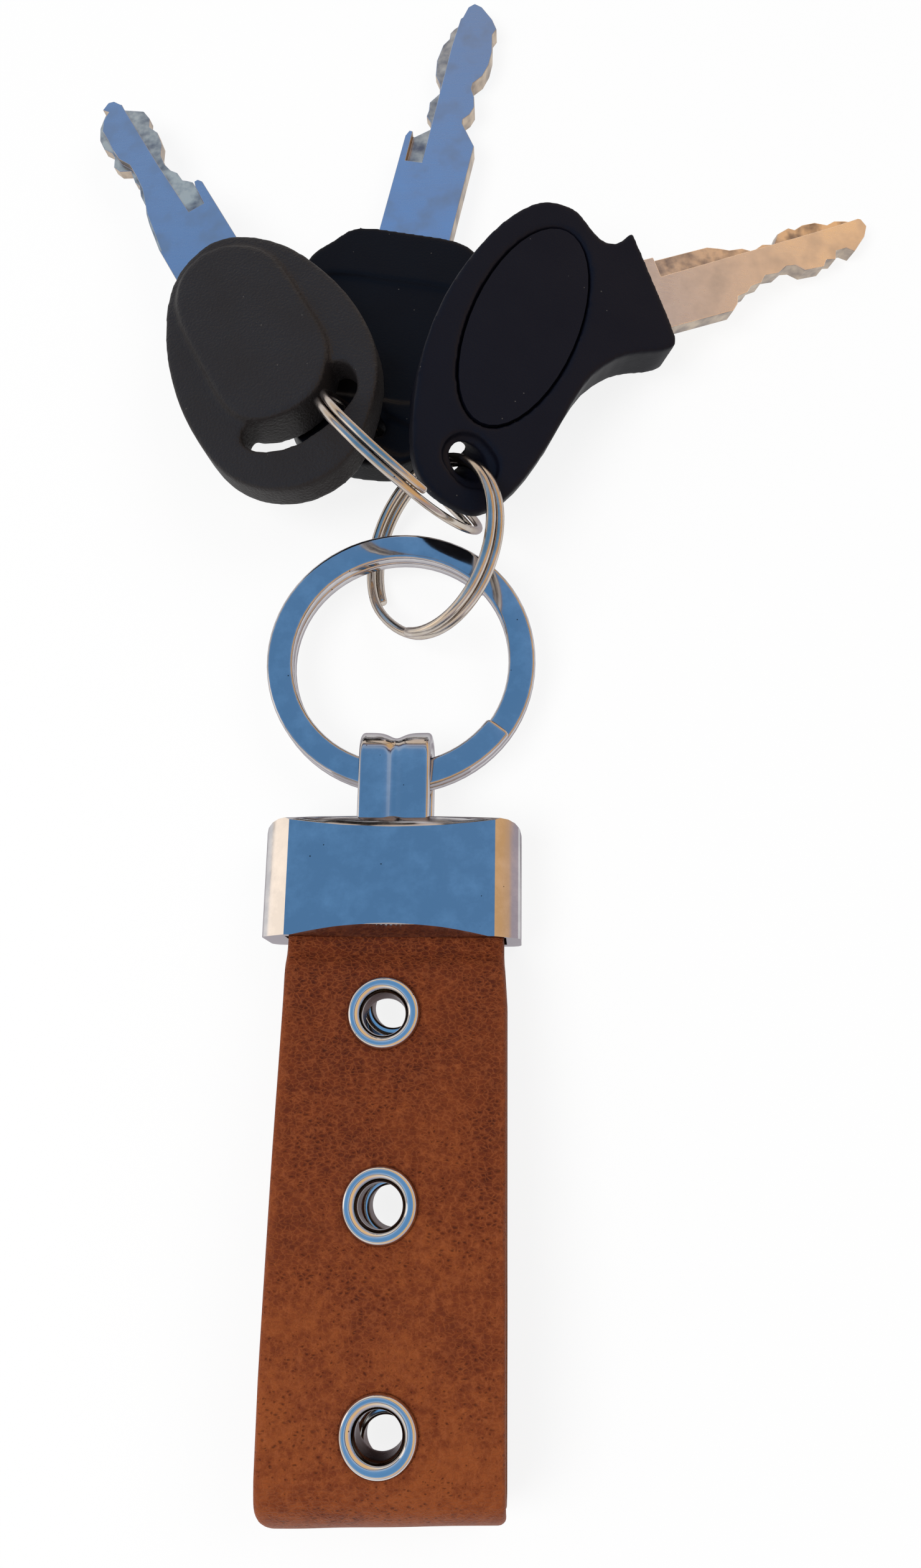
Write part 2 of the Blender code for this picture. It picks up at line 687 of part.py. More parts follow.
def blade_socket(name, sides, start, group):
    """The slot in a head that takes its blade, open at the head's end."""
    low, high = (side * MM for side in sides)
    base, end = start * MM - BLADE_INSERT - FIT, start * MM + SOCKET_PAST
    return box(name, (high - low + 2 * FIT, end - base, BLADE_THICK + 2 * FIT),
               ((low + high) / 2, (base + end) / 2, 0), group)


def empty(name, frame, group):
    obj = bpy.data.objects.new(name, None)
    obj.empty_display_size = 5 * MM
    group.objects.link(obj)
    obj.matrix_basis = frame
    return obj


def hang(obj, carrier, frame):
    """Parent obj to the empty on its joint's axis and leave it placed at frame."""
    obj.parent = carrier
    obj.matrix_parent_inverse = carrier.matrix_basis.inverted()
    obj.matrix_basis = frame


# Left key: egg-shaped head, raised middle, crescent slot
LEFT_ON_RING = 187.0  # degrees round the second small ring
LEFT_WIRE = Vector((0.45, -0.5, -0.45)) * MM
LEFT_SLOPE = (0.12, -0.05)
LEFT_HEADING = 120.0
LEFT_RIM = 4.4 * MM
LEFT_MIDDLE = 6.2 * MM
LEFT_ROUND = 1.7 * MM
LEFT_HEAD = [(-4.5, 31.0), (0.8, 29.8), (5.8, 24.0), (8.6, 15.0), (9.0, 7.0), (7.5, 0.6), (4.0, -4.7),
             (-1.6, -9.5), (-8.0, -10.2), (-13.3, -7.4), (-16.5, -2.5), (-17.5, 4.0), (-17.2, 11.5),
             (-15.0, 20.0), (-10.5, 27.8)]
LEFT_PLATEAU = [(-4.4, 29.2), (-0.5, 28.0), (2.5, 24.8), (3.5, 20.5), (3.6, 14.0), (3.5, 7.8), (2.2, 4.2),
                (-0.8, 1.1), (-4.6, -0.2), (-8.6, 0.7), (-11.2, 3.0), (-12.3, 6.8), (-12.3, 13.5),
                (-12.0, 20.0), (-11.0, 24.5), (-8.4, 27.9)]
LEFT_SLOT = [(2.0, 3.9), (3.4, 3.6), (4.2, 1.7), (3.6, -1.0), (1.4, -2.8), (-2.4, -3.8), (-6.7, -4.1),
             (-10.6, -2.7), (-12.5, -0.5), (-12.2, 1.4), (-10.7, 2.1), (-8.9, 1.0), (-5.0, 0.1),
             (-1.4, 0.8), (0.6, 2.3)]
LEFT_BLADE_SIDES = (-9.4, 0.6)
LEFT_BLADE_START = 30.0
LEFT_BLADE = [(0.6, 42.2), (0.2, 42.9), (-0.5, 42.9), (-0.5, 44.0), (-1.1, 44.8), (-1.6, 45.3), (-1.7, 47.0),
              (-2.3, 48.0), (-2.6, 49.6), (-2.4, 51.4), (-1.4, 53.2), (-1.1, 55.5), (-1.7, 57.2), (-1.0, 58.6),
              (-1.2, 60.4), (-3.6, 62.6), (-4.2, 63.8), (-5.0, 64.1), (-6.4, 63.3), (-7.9, 61.7), (-8.8, 59.7),
              (-8.9, 57.8), (-8.2, 56.4), (-8.2, 55.4), (-9.0, 53.9), (-8.6, 52.6), (-7.2, 51.6), (-7.5, 49.4),
              (-7.2, 48.4), (-7.8, 46.6), (-7.9, 44.6), (-8.4, 43.2), (-8.8, 41.2), (-9.4, 36.4)]
LEFT_POCKET = [(-3.2, 38.6), (-0.8, 38.6), (-0.6, 42.0), (-0.2, 43.4), (3.0, 44.0), (3.0, 66.0), (-2.0, 66.0),
               (-3.5, 62.3), (-3.5, 49.5)]
LEFT_LEDGE = [(-9.2, 35.0), (-8.3, 42.0), (-7.1, 46.5), (-6.9, 49.2), (-6.9, 51.6), (-7.8, 53.6), (-7.9, 55.7),
              (-7.8, 57.8), (-7.8, 59.9), (-6.9, 61.5), (-5.6, 62.5), (-8.0, 66.0), (-12.0, 62.0),
              (-12.0, 36.0)]

# Middle key: shouldered head with a sunk panel, under the other two
MID_ON_RING = 224.0  # degrees round the second small ring
MID_WIRE = Vector((0.53, 0.71, -0.16)) * MM
MID_SLOPE = (0.0, -0.045)
MID_HEADING = 79.0
MID_THICK = 4.6 * MM
MID_ROUND = 1.1 * MM
MID_PANEL_DEPTH = 0.5 * MM
MID_HEAD = [(-9.0, 31.4), (-2.0, 31.6), (5.0, 31.4), (8.6, 29.4), (11.6, 25.8), (12.3, 20.0), (11.8, 9.0),
            (10.0, 2.4), (8.2, -1.2), (5.4, -3.9), (1.4, -4.9), (-4.0, -4.8), (-9.4, -2.8), (-13.0, 3.4),
            (-14.9, 13.0), (-15.2, 21.0), (-14.7, 25.6), (-12.2, 28.6)]
MID_PANEL = [(-11.4, 23.4), (-3.0, 23.7), (7.6, 23.4), (8.4, 20.0), (8.2, 11.0), (6.8, 5.4), (-1.6, 5.0),
             (-9.8, 5.4), (-11.8, 11.0), (-12.2, 20.0)]
MID_HOLE = (1.5 * MM, 0.3 * MM)
MID_HOLE_SIZE = (10.8 * MM, 4.8 * MM)
MID_HOLE_ANGLE = -17.0
MID_BLADE_SIDES = (-6.5, 3.7)
MID_BLADE_START = 31.4
MID_BLADE = [(3.7, 46.4), (3.7, 48.7), (2.3, 50.8), (1.2, 52.4), (1.1, 53.2), (1.9, 54.2), (2.3, 55.6),
             (1.9, 57.4), (1.2, 58.8), (1.2, 59.9), (2.3, 61.4), (2.8, 63.6), (2.8, 66.0), (2.2, 69.2),
             (2.6, 70.3), (1.6, 72.0), (-0.4, 74.1), (-1.6, 74.6), (-2.4, 73.8), (-2.8, 71.8), (-3.9, 70.4),
             (-4.3, 69.6), (-4.2, 68.5), (-4.9, 67.2), (-5.2, 64.2), (-4.8, 61.5), (-3.8, 59.9), (-3.5, 58.2),
             (-4.6, 56.4), (-4.4, 55.0), (-4.5, 53.9), (-3.6, 52.8), (-3.4, 51.6), (-5.4, 49.9), (-6.1, 50.0),
             (-6.5, 49.0)]
MID_POCKET = [(-5.5, 44.7), (-3.1, 44.7), (-3.2, 57.0), (-3.3, 66.0), (-2.9, 76.0), (-8.0, 76.0), (-8.0, 51.0),
              (-5.6, 50.6)]

# Right key: long oval head with an inlay and a flared collar
RIGHT_ON_RING = 57.0  # degrees round the first small ring
RIGHT_WIRE = Vector((0.03, -0.25, 1.44)) * MM
RIGHT_SLOPE = (-0.245, 0.06)
RIGHT_HEADING = 74.5
RIGHT_THICK = 6.0 * MM
RIGHT_HEAD = [(0.5, 38.2), (3.5, 38.3), (5.6, 37.0), (7.8, 35.6), (9.9, 35.8), (11.1, 37.6), (11.6, 38.2),
              (12.3, 37.4), (16.9, 31.5), (21.0, 26.0), (20.8, 24.3), (19.3, 23.1), (17.0, 21.9), (14.5, 20.1),
              (11.9, 16.4), (10.5, 11.8), (9.4, 6.4), (7.8, 0.5), (5.8, -4.1), (3.4, -6.9), (1.2, -7.4),
              (-1.8, -6.9), (-4.7, -5.3), (-6.9, -1.8), (-8.6, 4.5), (-9.5, 11.8), (-9.1, 19.5), (-7.4, 26.7),
              (-4.9, 32.8), (-2.0, 36.8)]
RIGHT_HOLE = (0.4 * MM, -0.65 * MM)
RIGHT_HOLE_SIZE = (7.8 * MM, 6.2 * MM)
RIGHT_HOLE_ANGLE = -35.0
RIGHT_TIP_THICK = 3.6 * MM
RIGHT_RELIEF = (30.0 * MM, 22.0 * MM, 6.0 * MM)  # the tool that thins the underside at the hole
RIGHT_RELIEF_TURN = 3.0 * MM  # along the key, where its slope turns
RIGHT_RELIEF_RUN = 12.0 * MM  # over which it takes the whole difference
RIGHT_INLAY_CENTRE = (1.7 * MM, 19.6 * MM)
RIGHT_INLAY = (15.1 * MM, 6.8 * MM)
RIGHT_INLAY_LEAN = 6.0
RIGHT_INLAY_DEPTH = 0.8 * MM
RIGHT_BLADE_TURN = -52.1  # the blade's heading from the head's
RIGHT_BLADE_SHIFT = Vector((0.4, -2.2, 0)) * MM  # from its outline's numbers to its place in the head
RIGHT_BLADE_SIDES = (-20.3, -10.2)
RIGHT_BLADE_START = 34.0
RIGHT_BLADE = [(-10.2, 45.2), (-11.0, 46.2), (-12.0, 46.7), (-12.2, 48.3), (-12.9, 49.2), (-13.0, 50.8),
               (-13.9, 51.8), (-13.7, 53.8), (-14.4, 55.4), (-14.2, 56.6), (-13.1, 57.8), (-13.0, 59.4),
               (-12.9, 60.8), (-13.8, 61.6), (-13.5, 63.0), (-14.7, 63.6), (-14.7, 65.2), (-13.9, 66.3),
               (-15.6, 68.7), (-17.0, 69.7), (-18.2, 69.3), (-19.0, 67.6), (-19.4, 66.0), (-19.1, 64.7),
               (-19.9, 63.0), (-20.0, 61.0), (-19.6, 59.6), (-20.1, 58.8), (-19.6, 56.8), (-18.3, 55.6),
               (-18.7, 54.0), (-18.1, 52.2), (-18.9, 50.8), (-19.1, 48.9), (-19.7, 47.6), (-20.3, 45.9)]
RIGHT_POCKET = [(-17.4, 37.2), (-17.6, 45.7), (-18.1, 64.4), (-18.6, 72.0), (-24.0, 72.0), (-24.0, 37.2)]


def make_blade(name, sides, start, cuts, grooves, group, cutters):
    """A flat blade: its base in the head, its side cuts, its milled grooves."""
    low, high = sides
    base = start - BLADE_INSERT / MM
    outline = in_mm([(low, base), (high, base)] + cuts)
    blade = plate(name, outline, BLADE_THICK, group)
    for number, groove in enumerate(grooves, 1):
        tool = plate(f"{name}_groove_{number}", in_mm(groove), 2 * GROOVE_DEPTH, cutters, BLADE_THICK / 2)
        boolean(blade, tool)
    return blade


def place_cutters(solid, frame, carrier):
    """Put a piece and the tools that cut it in its key's frame."""
    hang(solid, carrier, frame)
    for modifier in solid.modifiers:
        if modifier.type == "BOOLEAN":
            tool = modifier.object
            tool.parent = carrier
            tool.matrix_parent_inverse = carrier.matrix_basis.inverted()
            tool.matrix_basis = frame @ tool.matrix_basis


def make_left_key(frame_b, group, cutters):
    hinge = wire_hinge(frame_b, RING_B_RADIUS, LEFT_ON_RING)
    frame = key_frame(hinge.translation, LEFT_WIRE, LEFT_SLOPE, LEFT_HEADING)
    carrier = empty("joint_key_left", hinge, group)
    head = plate("key_left_head", smooth(LEFT_HEAD, 3), LEFT_RIM, group)
    round_edges(head, LEFT_ROUND, 3)
    middle = plate("key_left_plateau", smooth(LEFT_PLATEAU, 3), LEFT_MIDDLE, cutters)
    round_edges(middle, 0.35 * MM, 1)
    boolean(head, middle, "UNION")
    slot = plate("key_left_slot", smooth(LEFT_SLOT, 3), 3 * LEFT_MIDDLE, cutters)
    boolean(head, slot)
    boolean(head, blade_socket("key_left_socket", LEFT_BLADE_SIDES, LEFT_BLADE_START, cutters))
    blade = make_blade("key_left_blade", LEFT_BLADE_SIDES, LEFT_BLADE_START, LEFT_BLADE,
                       [LEFT_POCKET, LEFT_LEDGE], group, cutters)
    place_cutters(head, frame, carrier)
    place_cutters(blade, frame, carrier)
    black_plastic(head)
    steel(blade)


def make_mid_key(frame_b, group, cutters):
    hinge = wire_hinge(frame_b, RING_B_RADIUS, MID_ON_RING)
    frame = key_frame(hinge.translation, MID_WIRE, MID_SLOPE, MID_HEADING)
    carrier = empty("joint_key_mid", hinge, group)
    head = plate("key_mid_head", smooth(MID_HEAD, 3), MID_THICK, group)
    round_edges(head, MID_ROUND)
    panel = plate("key_mid_panel", smooth(MID_PANEL, 2), 2 * MID_PANEL_DEPTH, cutters, MID_THICK / 2)
    boolean(head, panel)
    hole = plate("key_mid_hole", slot_outline(MID_HOLE, *MID_HOLE_SIZE, MID_HOLE_ANGLE), 3 * MID_THICK, cutters)
    boolean(head, hole)
    boolean(head, blade_socket("key_mid_socket", MID_BLADE_SIDES, MID_BLADE_START, cutters))
    blade = make_blade("key_mid_blade", MID_BLADE_SIDES, MID_BLADE_START, MID_BLADE, [MID_POCKET], group, cutters)
    place_cutters(head, frame, carrier)
    place_cutters(blade, frame, carrier)
    black_plastic(head)
    steel(blade)


def make_right_key(frame_a, group, cutters):
    hinge = wire_hinge(frame_a, RING_A_RADIUS, RIGHT_ON_RING)
    frame = key_frame(hinge.translation, RIGHT_WIRE, RIGHT_SLOPE, RIGHT_HEADING)
    carrier = empty("joint_key_right", hinge, group)
    turn = Matrix.Rotation(math.radians(RIGHT_BLADE_TURN), 4, "Z") @ Matrix.Translation(RIGHT_BLADE_SHIFT)
    head = plate("key_right_head", smooth(RIGHT_HEAD, 2), RIGHT_THICK, group)
    round_edges(head, RIM_ROUND)
    hole = plate("key_right_hole", slot_outline(RIGHT_HOLE, *RIGHT_HOLE_SIZE, RIGHT_HOLE_ANGLE), 3 * RIGHT_THICK,
                 cutters)
    boolean(head, hole)
    # the underside thins toward the hole, where the ring's wire passes
    _, length, depth = RIGHT_RELIEF
    relief = box("key_right_relief", RIGHT_RELIEF, (0, 0, 0), cutters)
    lean = math.atan2(RIGHT_THICK - RIGHT_TIP_THICK, RIGHT_RELIEF_RUN)
    relief.matrix_basis = (Matrix.Translation((0, RIGHT_RELIEF_TURN, RIGHT_THICK / 2 - RIGHT_TIP_THICK))
                           @ Matrix.Rotation(-lean, 4, "X")
                           @ Matrix.Translation((0, RIGHT_RELIEF_TURN - length / 2, -depth / 2)))
    boolean(head, relief)
    ring = (RIGHT_INLAY[0] + FIT, RIGHT_INLAY[1] + FIT)
    seat = plate("key_right_seat", ellipse(RIGHT_INLAY_CENTRE, *ring, RIGHT_INLAY_LEAN),
                 2 * (RIGHT_INLAY_DEPTH + FIT), cutters, RIGHT_THICK / 2)
    boolean(head, seat)
    socket = blade_socket("key_right_socket", RIGHT_BLADE_SIDES, RIGHT_BLADE_START, cutters)
    socket.matrix_basis = turn @ Matrix.Translation(socket.location)
    boolean(head, socket)
    inlay = plate("key_right_inlay", ellipse(RIGHT_INLAY_CENTRE, *RIGHT_INLAY, RIGHT_INLAY_LEAN),
                  RIGHT_INLAY_DEPTH, group, RIGHT_THICK / 2 - RIGHT_INLAY_DEPTH / 2)
    blade = make_blade("key_right_blade", RIGHT_BLADE_SIDES, RIGHT_BLADE_START, RIGHT_BLADE,
                       [RIGHT_POCKET], group, cutters)
    place_cutters(head, frame, carrier)
    place_cutters(blade, frame @ turn, carrier)
    hang(inlay, carrier, frame)
    black_plastic(head)
    black_plastic(inlay)
    steel(blade)


def ring_frame(centre, x_axis, y_axis):
    z_axis = x_axis.cross(y_axis)
    frame = Matrix((x_axis, y_axis, z_axis)).transposed().to_4x4()
    frame.translation = centre
    return frame


def large_ring_centre():
    """The large ring lies with its near band inside the bail."""
    top_wall = CLAMP_LENGTH / 2 + FIT + BAIL_HEIGHT - BAIL_WALL
    return Vector((0.1 * MM, top_wall - RING_PLAY - RING_BAND + RING_OUTER, RING_Z))


def small_ring_frames():
    far_edge = large_ring_centre() + Vector((0, RING_OUTER, 0))
    centre_a = far_edge + RING_A_FROM_LARGE
    tilt = math.radians(RING_A_TILT)
    frame_a = ring_frame(centre_a, Vector((math.cos(tilt), 0, math.sin(tilt))), Vector((0, 1, 0)))
    heading, lean = math.radians(RING_B_HEADING), math.radians(RING_B_LEAN)
    run = Vector((math.cos(heading), math.sin(heading), 0))
    side = Vector((math.sin(heading), -math.cos(heading), 0))
    rise = side * math.sin(lean) + Vector((0, 0, math.cos(lean)))
    frame_b = ring_frame(centre_a + RING_B_FROM_A, run, rise)
    return frame_a, frame_b


def make_rings(frame_a, frame_b, group):
    centre = large_ring_centre()
    band = Vector((0, RING_OUTER - RING_BAND / 2, 0))
    in_bail = centre - band + Vector((0, RING_HINGE, 0))
    carrier = empty("joint_large_ring", Matrix.Translation(in_bail), group)
    ring = make_large_ring(group)
    hang(ring, carrier, Matrix.Translation(centre))
    ring_a = wire_ring("split_ring_a", RING_A_RADIUS, RING_A_END, RING_A_CROSSING, 1, group)
    on_band = centre + band + Vector((RING_A_HINGE, 0, 0))
    hang(ring_a, empty("joint_small_ring_a", Matrix.Translation(on_band), group), frame_a)
    ring_b = wire_ring("split_ring_b", RING_B_RADIUS, RING_B_END, RING_B_CROSSING, -1, group)
    hinge = wire_hinge(frame_a, RING_A_RADIUS, RING_B_ON_A)
    hang(ring_b, empty("joint_small_ring_b", hinge, group), frame_b)
    nickel(ring_a)
    nickel(ring_b)


def main():
    clear_scene()
    group = collection("leather_keychain")
    cutters = collection("cutters")
    make_strap(group, cutters)
    make_clamp(group, cutters)
    make_bail(group, cutters)
    frame_a, frame_b = small_ring_frames()
    make_rings(frame_a, frame_b, group)
    make_left_key(frame_b, group, cutters)
    make_mid_key(frame_b, group, cutters)
    make_right_key(frame_a, group, cutters)
    bpy.context.view_layer.update()
    for obj in group.objects:
        if obj.type == "MESH":
            shade(obj)


main()
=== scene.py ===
"""Leather key fob with its clamp, split rings and three keys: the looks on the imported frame.

Metres, the CAD's own frame: the origin is the middle of the clamp's flat back on the table,
+Y points from the strap to the keys, +X to the right, +Z up.
"""

import math

import bmesh
import bpy
from bpy.props import FloatProperty, FloatVectorProperty, IntProperty, PointerProperty
from mathutils import Matrix, Vector, noise


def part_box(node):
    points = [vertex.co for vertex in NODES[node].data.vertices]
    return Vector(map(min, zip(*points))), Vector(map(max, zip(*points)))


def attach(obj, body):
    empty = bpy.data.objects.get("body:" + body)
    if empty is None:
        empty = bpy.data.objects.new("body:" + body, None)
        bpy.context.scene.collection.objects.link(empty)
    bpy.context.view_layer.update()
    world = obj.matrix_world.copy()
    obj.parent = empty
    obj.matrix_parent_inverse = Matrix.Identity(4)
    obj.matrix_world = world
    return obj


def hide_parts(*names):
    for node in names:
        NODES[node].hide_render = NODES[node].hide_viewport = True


bl_info = {
    "name": "Leather key fob",
    "version": (1, 0, 0),
    "blender": (4, 5, 0),
    "location": "3D View > Sidebar > Key fob",
    "description": "A folded leather strap fob with its clamp, bail, split rings and three keys",
    "category": "Object",
}

MM = 0.001
ACROSS = Vector((1, 0, 0))
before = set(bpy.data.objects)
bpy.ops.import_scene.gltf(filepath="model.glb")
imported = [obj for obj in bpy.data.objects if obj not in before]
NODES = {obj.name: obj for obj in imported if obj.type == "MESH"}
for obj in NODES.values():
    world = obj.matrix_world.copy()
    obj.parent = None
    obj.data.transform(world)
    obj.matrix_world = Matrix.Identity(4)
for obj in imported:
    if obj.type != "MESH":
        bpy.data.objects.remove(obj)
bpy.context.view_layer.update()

# The camera stands over the strap, and looks down past the clamp's right
CAMERA_PLACE = Vector((15.97, -24.93, 152.63)) * MM
CAMERA_AHEAD = Vector((-0.0533, 0.2482, -0.9672))
CAMERA_ROLL = 0.87  # degrees, to the right
CAMERA_FOCAL = 1987  # in the photograph's pixels
PICTURE_HEIGHT = 2520
SENSOR = 36.0

# Strap
STRAP_OFFSET = 0.6 * MM
STRAP_FLARE = 0.6 * MM
STRAP_LENGTH = 69.0 * MM
STRAP_LIFT = 2.2 * MM
# Past the mouth the leather spreads, more to the right; its fold hangs lower on the left
STRAP_SPREAD = 0.35 * MM
STRAP_DRIFT = 0.2 * MM
SPREAD_RUN = 6 * MM
MOUTH_SPREAD = 0.1 * MM  # of each layer at the mouth
FOLD_SKEW = 0.6 * MM
FOLD_RUN = 6 * MM
SKIN = 1.35 * MM
LINING = 1.05 * MM
LINING_CORNER = 0.3 * MM
FIT = 0.3 * MM  # the CAD's clearance between pressed pieces
GLUE = 0.12 * MM  # each layer's share of it, which glue fills in the real one
STRAP_THICK = SKIN + FIT + LINING
LAYER_GAP = 0.6 * MM
CLAMP_LENGTH = 16.0 * MM
STRAP_IN_CLAMP = 13.6 * MM
EYELET_STATIONS = (15.4 * MM, 36.04 * MM, 58.4 * MM)
BACK_STATIONS = (14.2 * MM, 36.74 * MM, 60.9 * MM)
EYELET_SIDES = (-0.85 * MM, -0.4 * MM, 0.25 * MM)  # from the middle of the strap's width, to the right
BACK_SIDES = (-0.35 * MM, 0, 0.15 * MM)
EYELET_FLAT = 4.5 * MM
FRONT_SEATS = ((10.2 * MM, 0.12), (12.5 * MM, 0.08), (13.6 * MM, -0.03))
BACK_SEATS = ((1.15 * MM, -0.01), (1.0 * MM, -0.01), (1.1 * MM, 0.03))
WORN_LEFT = 3.6 * MM  # reach of the worn corners at the fold
WORN_RIGHT = 2.0 * MM
WORN_SHARE = 0.5  # how far a corner is drawn in, for its reach
EDGE_WEAR_AND_HIGHLIGHT = 1.2 * MM  # width of the lighter edges: worn, with a painted highlight on their rounding
STRAP_STEP = 0.7 * MM  # between rows of faces, small enough for the folds round the eyelets
LINE_STEPS = 16  # between two knots of the strap's line
# The fold's knots: their share of the way from the last eyelets to the fold's end, and of the
# drop between the layers, in front, at the end and behind
FOLD_REACH = 0.66
FOLD_DROPS = (0.17, 0.35, 0.11)
SWELL_PLACE = 0.75 * MM  # crest of the raised leather, outside the flange
SWELL_WIDTH = 0.62 * MM
SWELL_LAYER = 1 * MM  # from an eyelet's plane, so that only its own layer rises
WAVE = 7  # mm, between the leather's slow waves
GRAIN = 0.45  # mm, cells of the leather's grain
GRAIN_DRIFT = 0.5 * MM

# Eyelets
EYELET_HOLE = 2.45 * MM  # radii
EYELET_BARREL = 2.85 * MM
EYELET_CREST = 3.55 * MM
EYELET_FLANGE = 4.2 * MM
EYELET_BORE = -0.45 * MM  # height at which the funnel becomes the bore
EYELET_FUNNEL = 1.45 * MM  # height of the funnel
EYELET_LIFT = 0.06 * MM  # flange over leather
EYELET_RIM = 0.15 * MM  # height at which the flange's dome begins
EYELET_DOME = 0.85 * MM
EYELET_MIDDLE = -1.4 * MM  # a step halfway up the barrel
EYELET_STRAIGHT = 0.3 * MM  # length that keeps the bore straight up to its ends
EYELET_ROLL = 0.7 * MM  # height of the rolled foot under the washer
# The foot's outline from the bore outward: radii, and heights from its top
EYELET_FOOT = ((EYELET_HOLE, EYELET_STRAIGHT), (EYELET_HOLE, -0.2 * MM), (2.6 * MM, -0.35 * MM),
               (3.35 * MM, -0.35 * MM), (3.55 * MM, -0.15 * MM), (3.4 * MM, 0), (EYELET_BARREL, 0))
LEATHER_HOLE = 3.15 * MM

# Clamp
CLAMP_THICK = 10.3 * MM
CLAMP_MOUTH = -6.45 * MM  # where the casting's edge at the strap really ends
# The front's upper and lower edges are cut back in shallow arcs, the lower one with a flatter
# thumb notch in its middle: deepest point, radius, slope in degrees, depth
CLAMP_CUTS = ((6.4 * MM, 180 * MM, 35, 2.0 * MM), (-4.9 * MM, 24 * MM, 27, 1.95 * MM),
              (-5.08 * MM, 60 * MM, 53, 1.95 * MM))
CLAMP_TOOL = 40 * MM  # side of the cube that cuts the mouth, wider than the clamp
CLAMP_FRONT_EDGE = 0.3 * MM
CLAMP_EDGE = 0.12 * MM

# Bail
BAIL_WIDTH = 8.7 * MM
BAIL_HEIGHT = 10.9 * MM
BAIL_DEPTH = 8.9 * MM
BAIL_WALL = 1.6 * MM
BAIL_VALLEY = 0.3 * MM
BAIL_TOP_VALLEY = 0.6 * MM  # deeper again over the top
BAIL_VALLEY_RUN = 0.085 * BAIL_WIDTH
BAIL_TOP_RUN = 0.16 * BAIL_WIDTH
BAIL_EDGE = 0.55 * MM
BAIL_STEPS = 12  # in each corner
BAIL_CORNER = 3.0 * MM
BAIL_FOOT = 0.5 * MM
BAIL_SUNK = 1.4 * MM  # how far the foot is let into the clamp's end
BAIL_CENTRE_Z = 5.0 * MM

# Keys
HEADINGS = {"left": 120.0, "mid": 79.0, "right": 22.0}  # degrees, the way each blade points
HEAD_PASSES = {"left": 14, "mid": 6, "right": 8}  # of smoothing, more for rounder edges
HEAD_VOXEL = 0.25 * MM
BLADE_EDGE = 0.1 * MM
LEAST_CUT = 0.15 * MM  # depth from which a lower face counts as milled
PANEL_DEPTH = 0.5 * MM  # of the middle head's sunk panel
DOT_PITCH = 0.62 * MM
BORE_LENGTH = 20 * MM
# The ring's wire through each hole, its way, and the elliptic plug that fills the CAD's hole
HEAD_HOLES = {
    "mid": {"wire": Vector((-3.945, 60.999, 4.735)) * MM, "run": Vector((0.6802, -0.3042, -0.667)),
            "aside": Vector((1.0, -0.7, 0)) * MM, "plug": (6.2 * MM, 3.2 * MM, -28), "depth": 4.5 * MM,
            "radius": 2.0 * MM},
    "right": {"wire": Vector((8.477, 52.277, 13.575)) * MM, "run": Vector((0.6033, -0.5446, 0.5826)),
              "aside": Vector((0.3, -0.5, 0)) * MM, "plug": (4.6 * MM, 3.6 * MM, -50.5), "depth": 5.0 * MM,
              "radius": 2.1 * MM},
}

# Split rings
RING_PARTS = 72  # steps in one turn
RING_MIDDLE = 15.3 * MM
RING_BAND = 3.4 * MM
RING_EDGE = 0.5 * MM
RING_START = 37.0  # degrees
RING_CROSSING = 82.0
RING_STACK = 3.25 * MM  # both turns
TURN_SPLIT = 0.08 * MM  # the seam that shows between turns
WIRE_A = 1.25 * MM
WIRE_B = 1.02 * MM
WIRE_SPLIT = 0.12 * MM
RING_A_CENTRE = Vector((4.05, 42.8, 9.3)) * MM
RING_A_TILT = 44.0
RING_B_CENTRE = RING_A_CENTRE + Vector((-3.95, 9.45, 3.55)) * MM
RING_B_HEADING = -45.3
RING_B_LEAN = 22.0
# Radius of the wire's middle, degrees of its start and its crossing, and the way it climbs
WIRE_TURNS = {"a": (11.3 * MM, 252.0, 50.0, 1), "b": (12.6 * MM, 48.0, 93.0, -1)}
WIRE_END = 0.3 * MM

# Stage, in metres
FLOOR_SIZE = 1.5
FLOOR_GAP = 0.1 * MM
FLOOR_GLOW = 0.85  # share of its white that is its own, the rest is light and shadow
EVEN_LIGHT = 0.44  # strength of the world on all that isn't mirrored
LAMP_AIM = (0, 0.02, 0)
# Place, size, power, colour, and whether metal mirrors it, as it does the low one on left edges
LAMPS = {"soft_key": ((-0.35, -0.15, 0.7), 0.5, 3.7, "FFFFFF", False),
         "soft_fill": ((0.45, 0.3, 0.6), 0.5, 1.15, "FFFFFF", False),
         "low_side": ((-0.55, 0.04, 0.12), 0.25, 0.12, "FFF0DC", True)}


def linear(code):
    """A hex sRGB colour as the linear RGBA that nodes take."""
    channels = [int(code[i:i + 2], 16) / 255 for i in (0, 2, 4)]
    return [c / 12.92 if c <= 0.04045 else ((c + 0.055) / 1.055) ** 2.4 for c in channels] + [1.0]


def fill(node, inputs):
    """Set a node's inputs, named or in their order, to values, or link them.

    A node among the values stands for its first output in use.
    """
    for name, value in inputs.items() if isinstance(inputs, dict) else enumerate(inputs):
        if isinstance(value, bpy.types.Node):
            value = next(socket for socket in value.outputs if socket.enabled)
        if isinstance(value, bpy.types.NodeSocket):
            node.id_data.links.new(value, node.inputs[name])
        else:
            node.inputs[name].default_value = value


def add_node(tree, kind, inputs=(), stops=(), **settings):
    """Add a shader node with its settings, its inputs' values or links, and a ramp's rising stops."""
    made = tree.nodes.new("ShaderNode" + kind)
    for name, value in settings.items():
        setattr(made, name, value)
    fill(made, inputs)
    for place, _ in stops[1:-1]:
        made.color_ramp.elements.new(place)
    for i, (place, colour) in enumerate(stops):
        element = made.color_ramp.elements[i]
        element.position = place
        element.color = linear(colour) if isinstance(colour, str) else (*colour, 1.0)
    return made


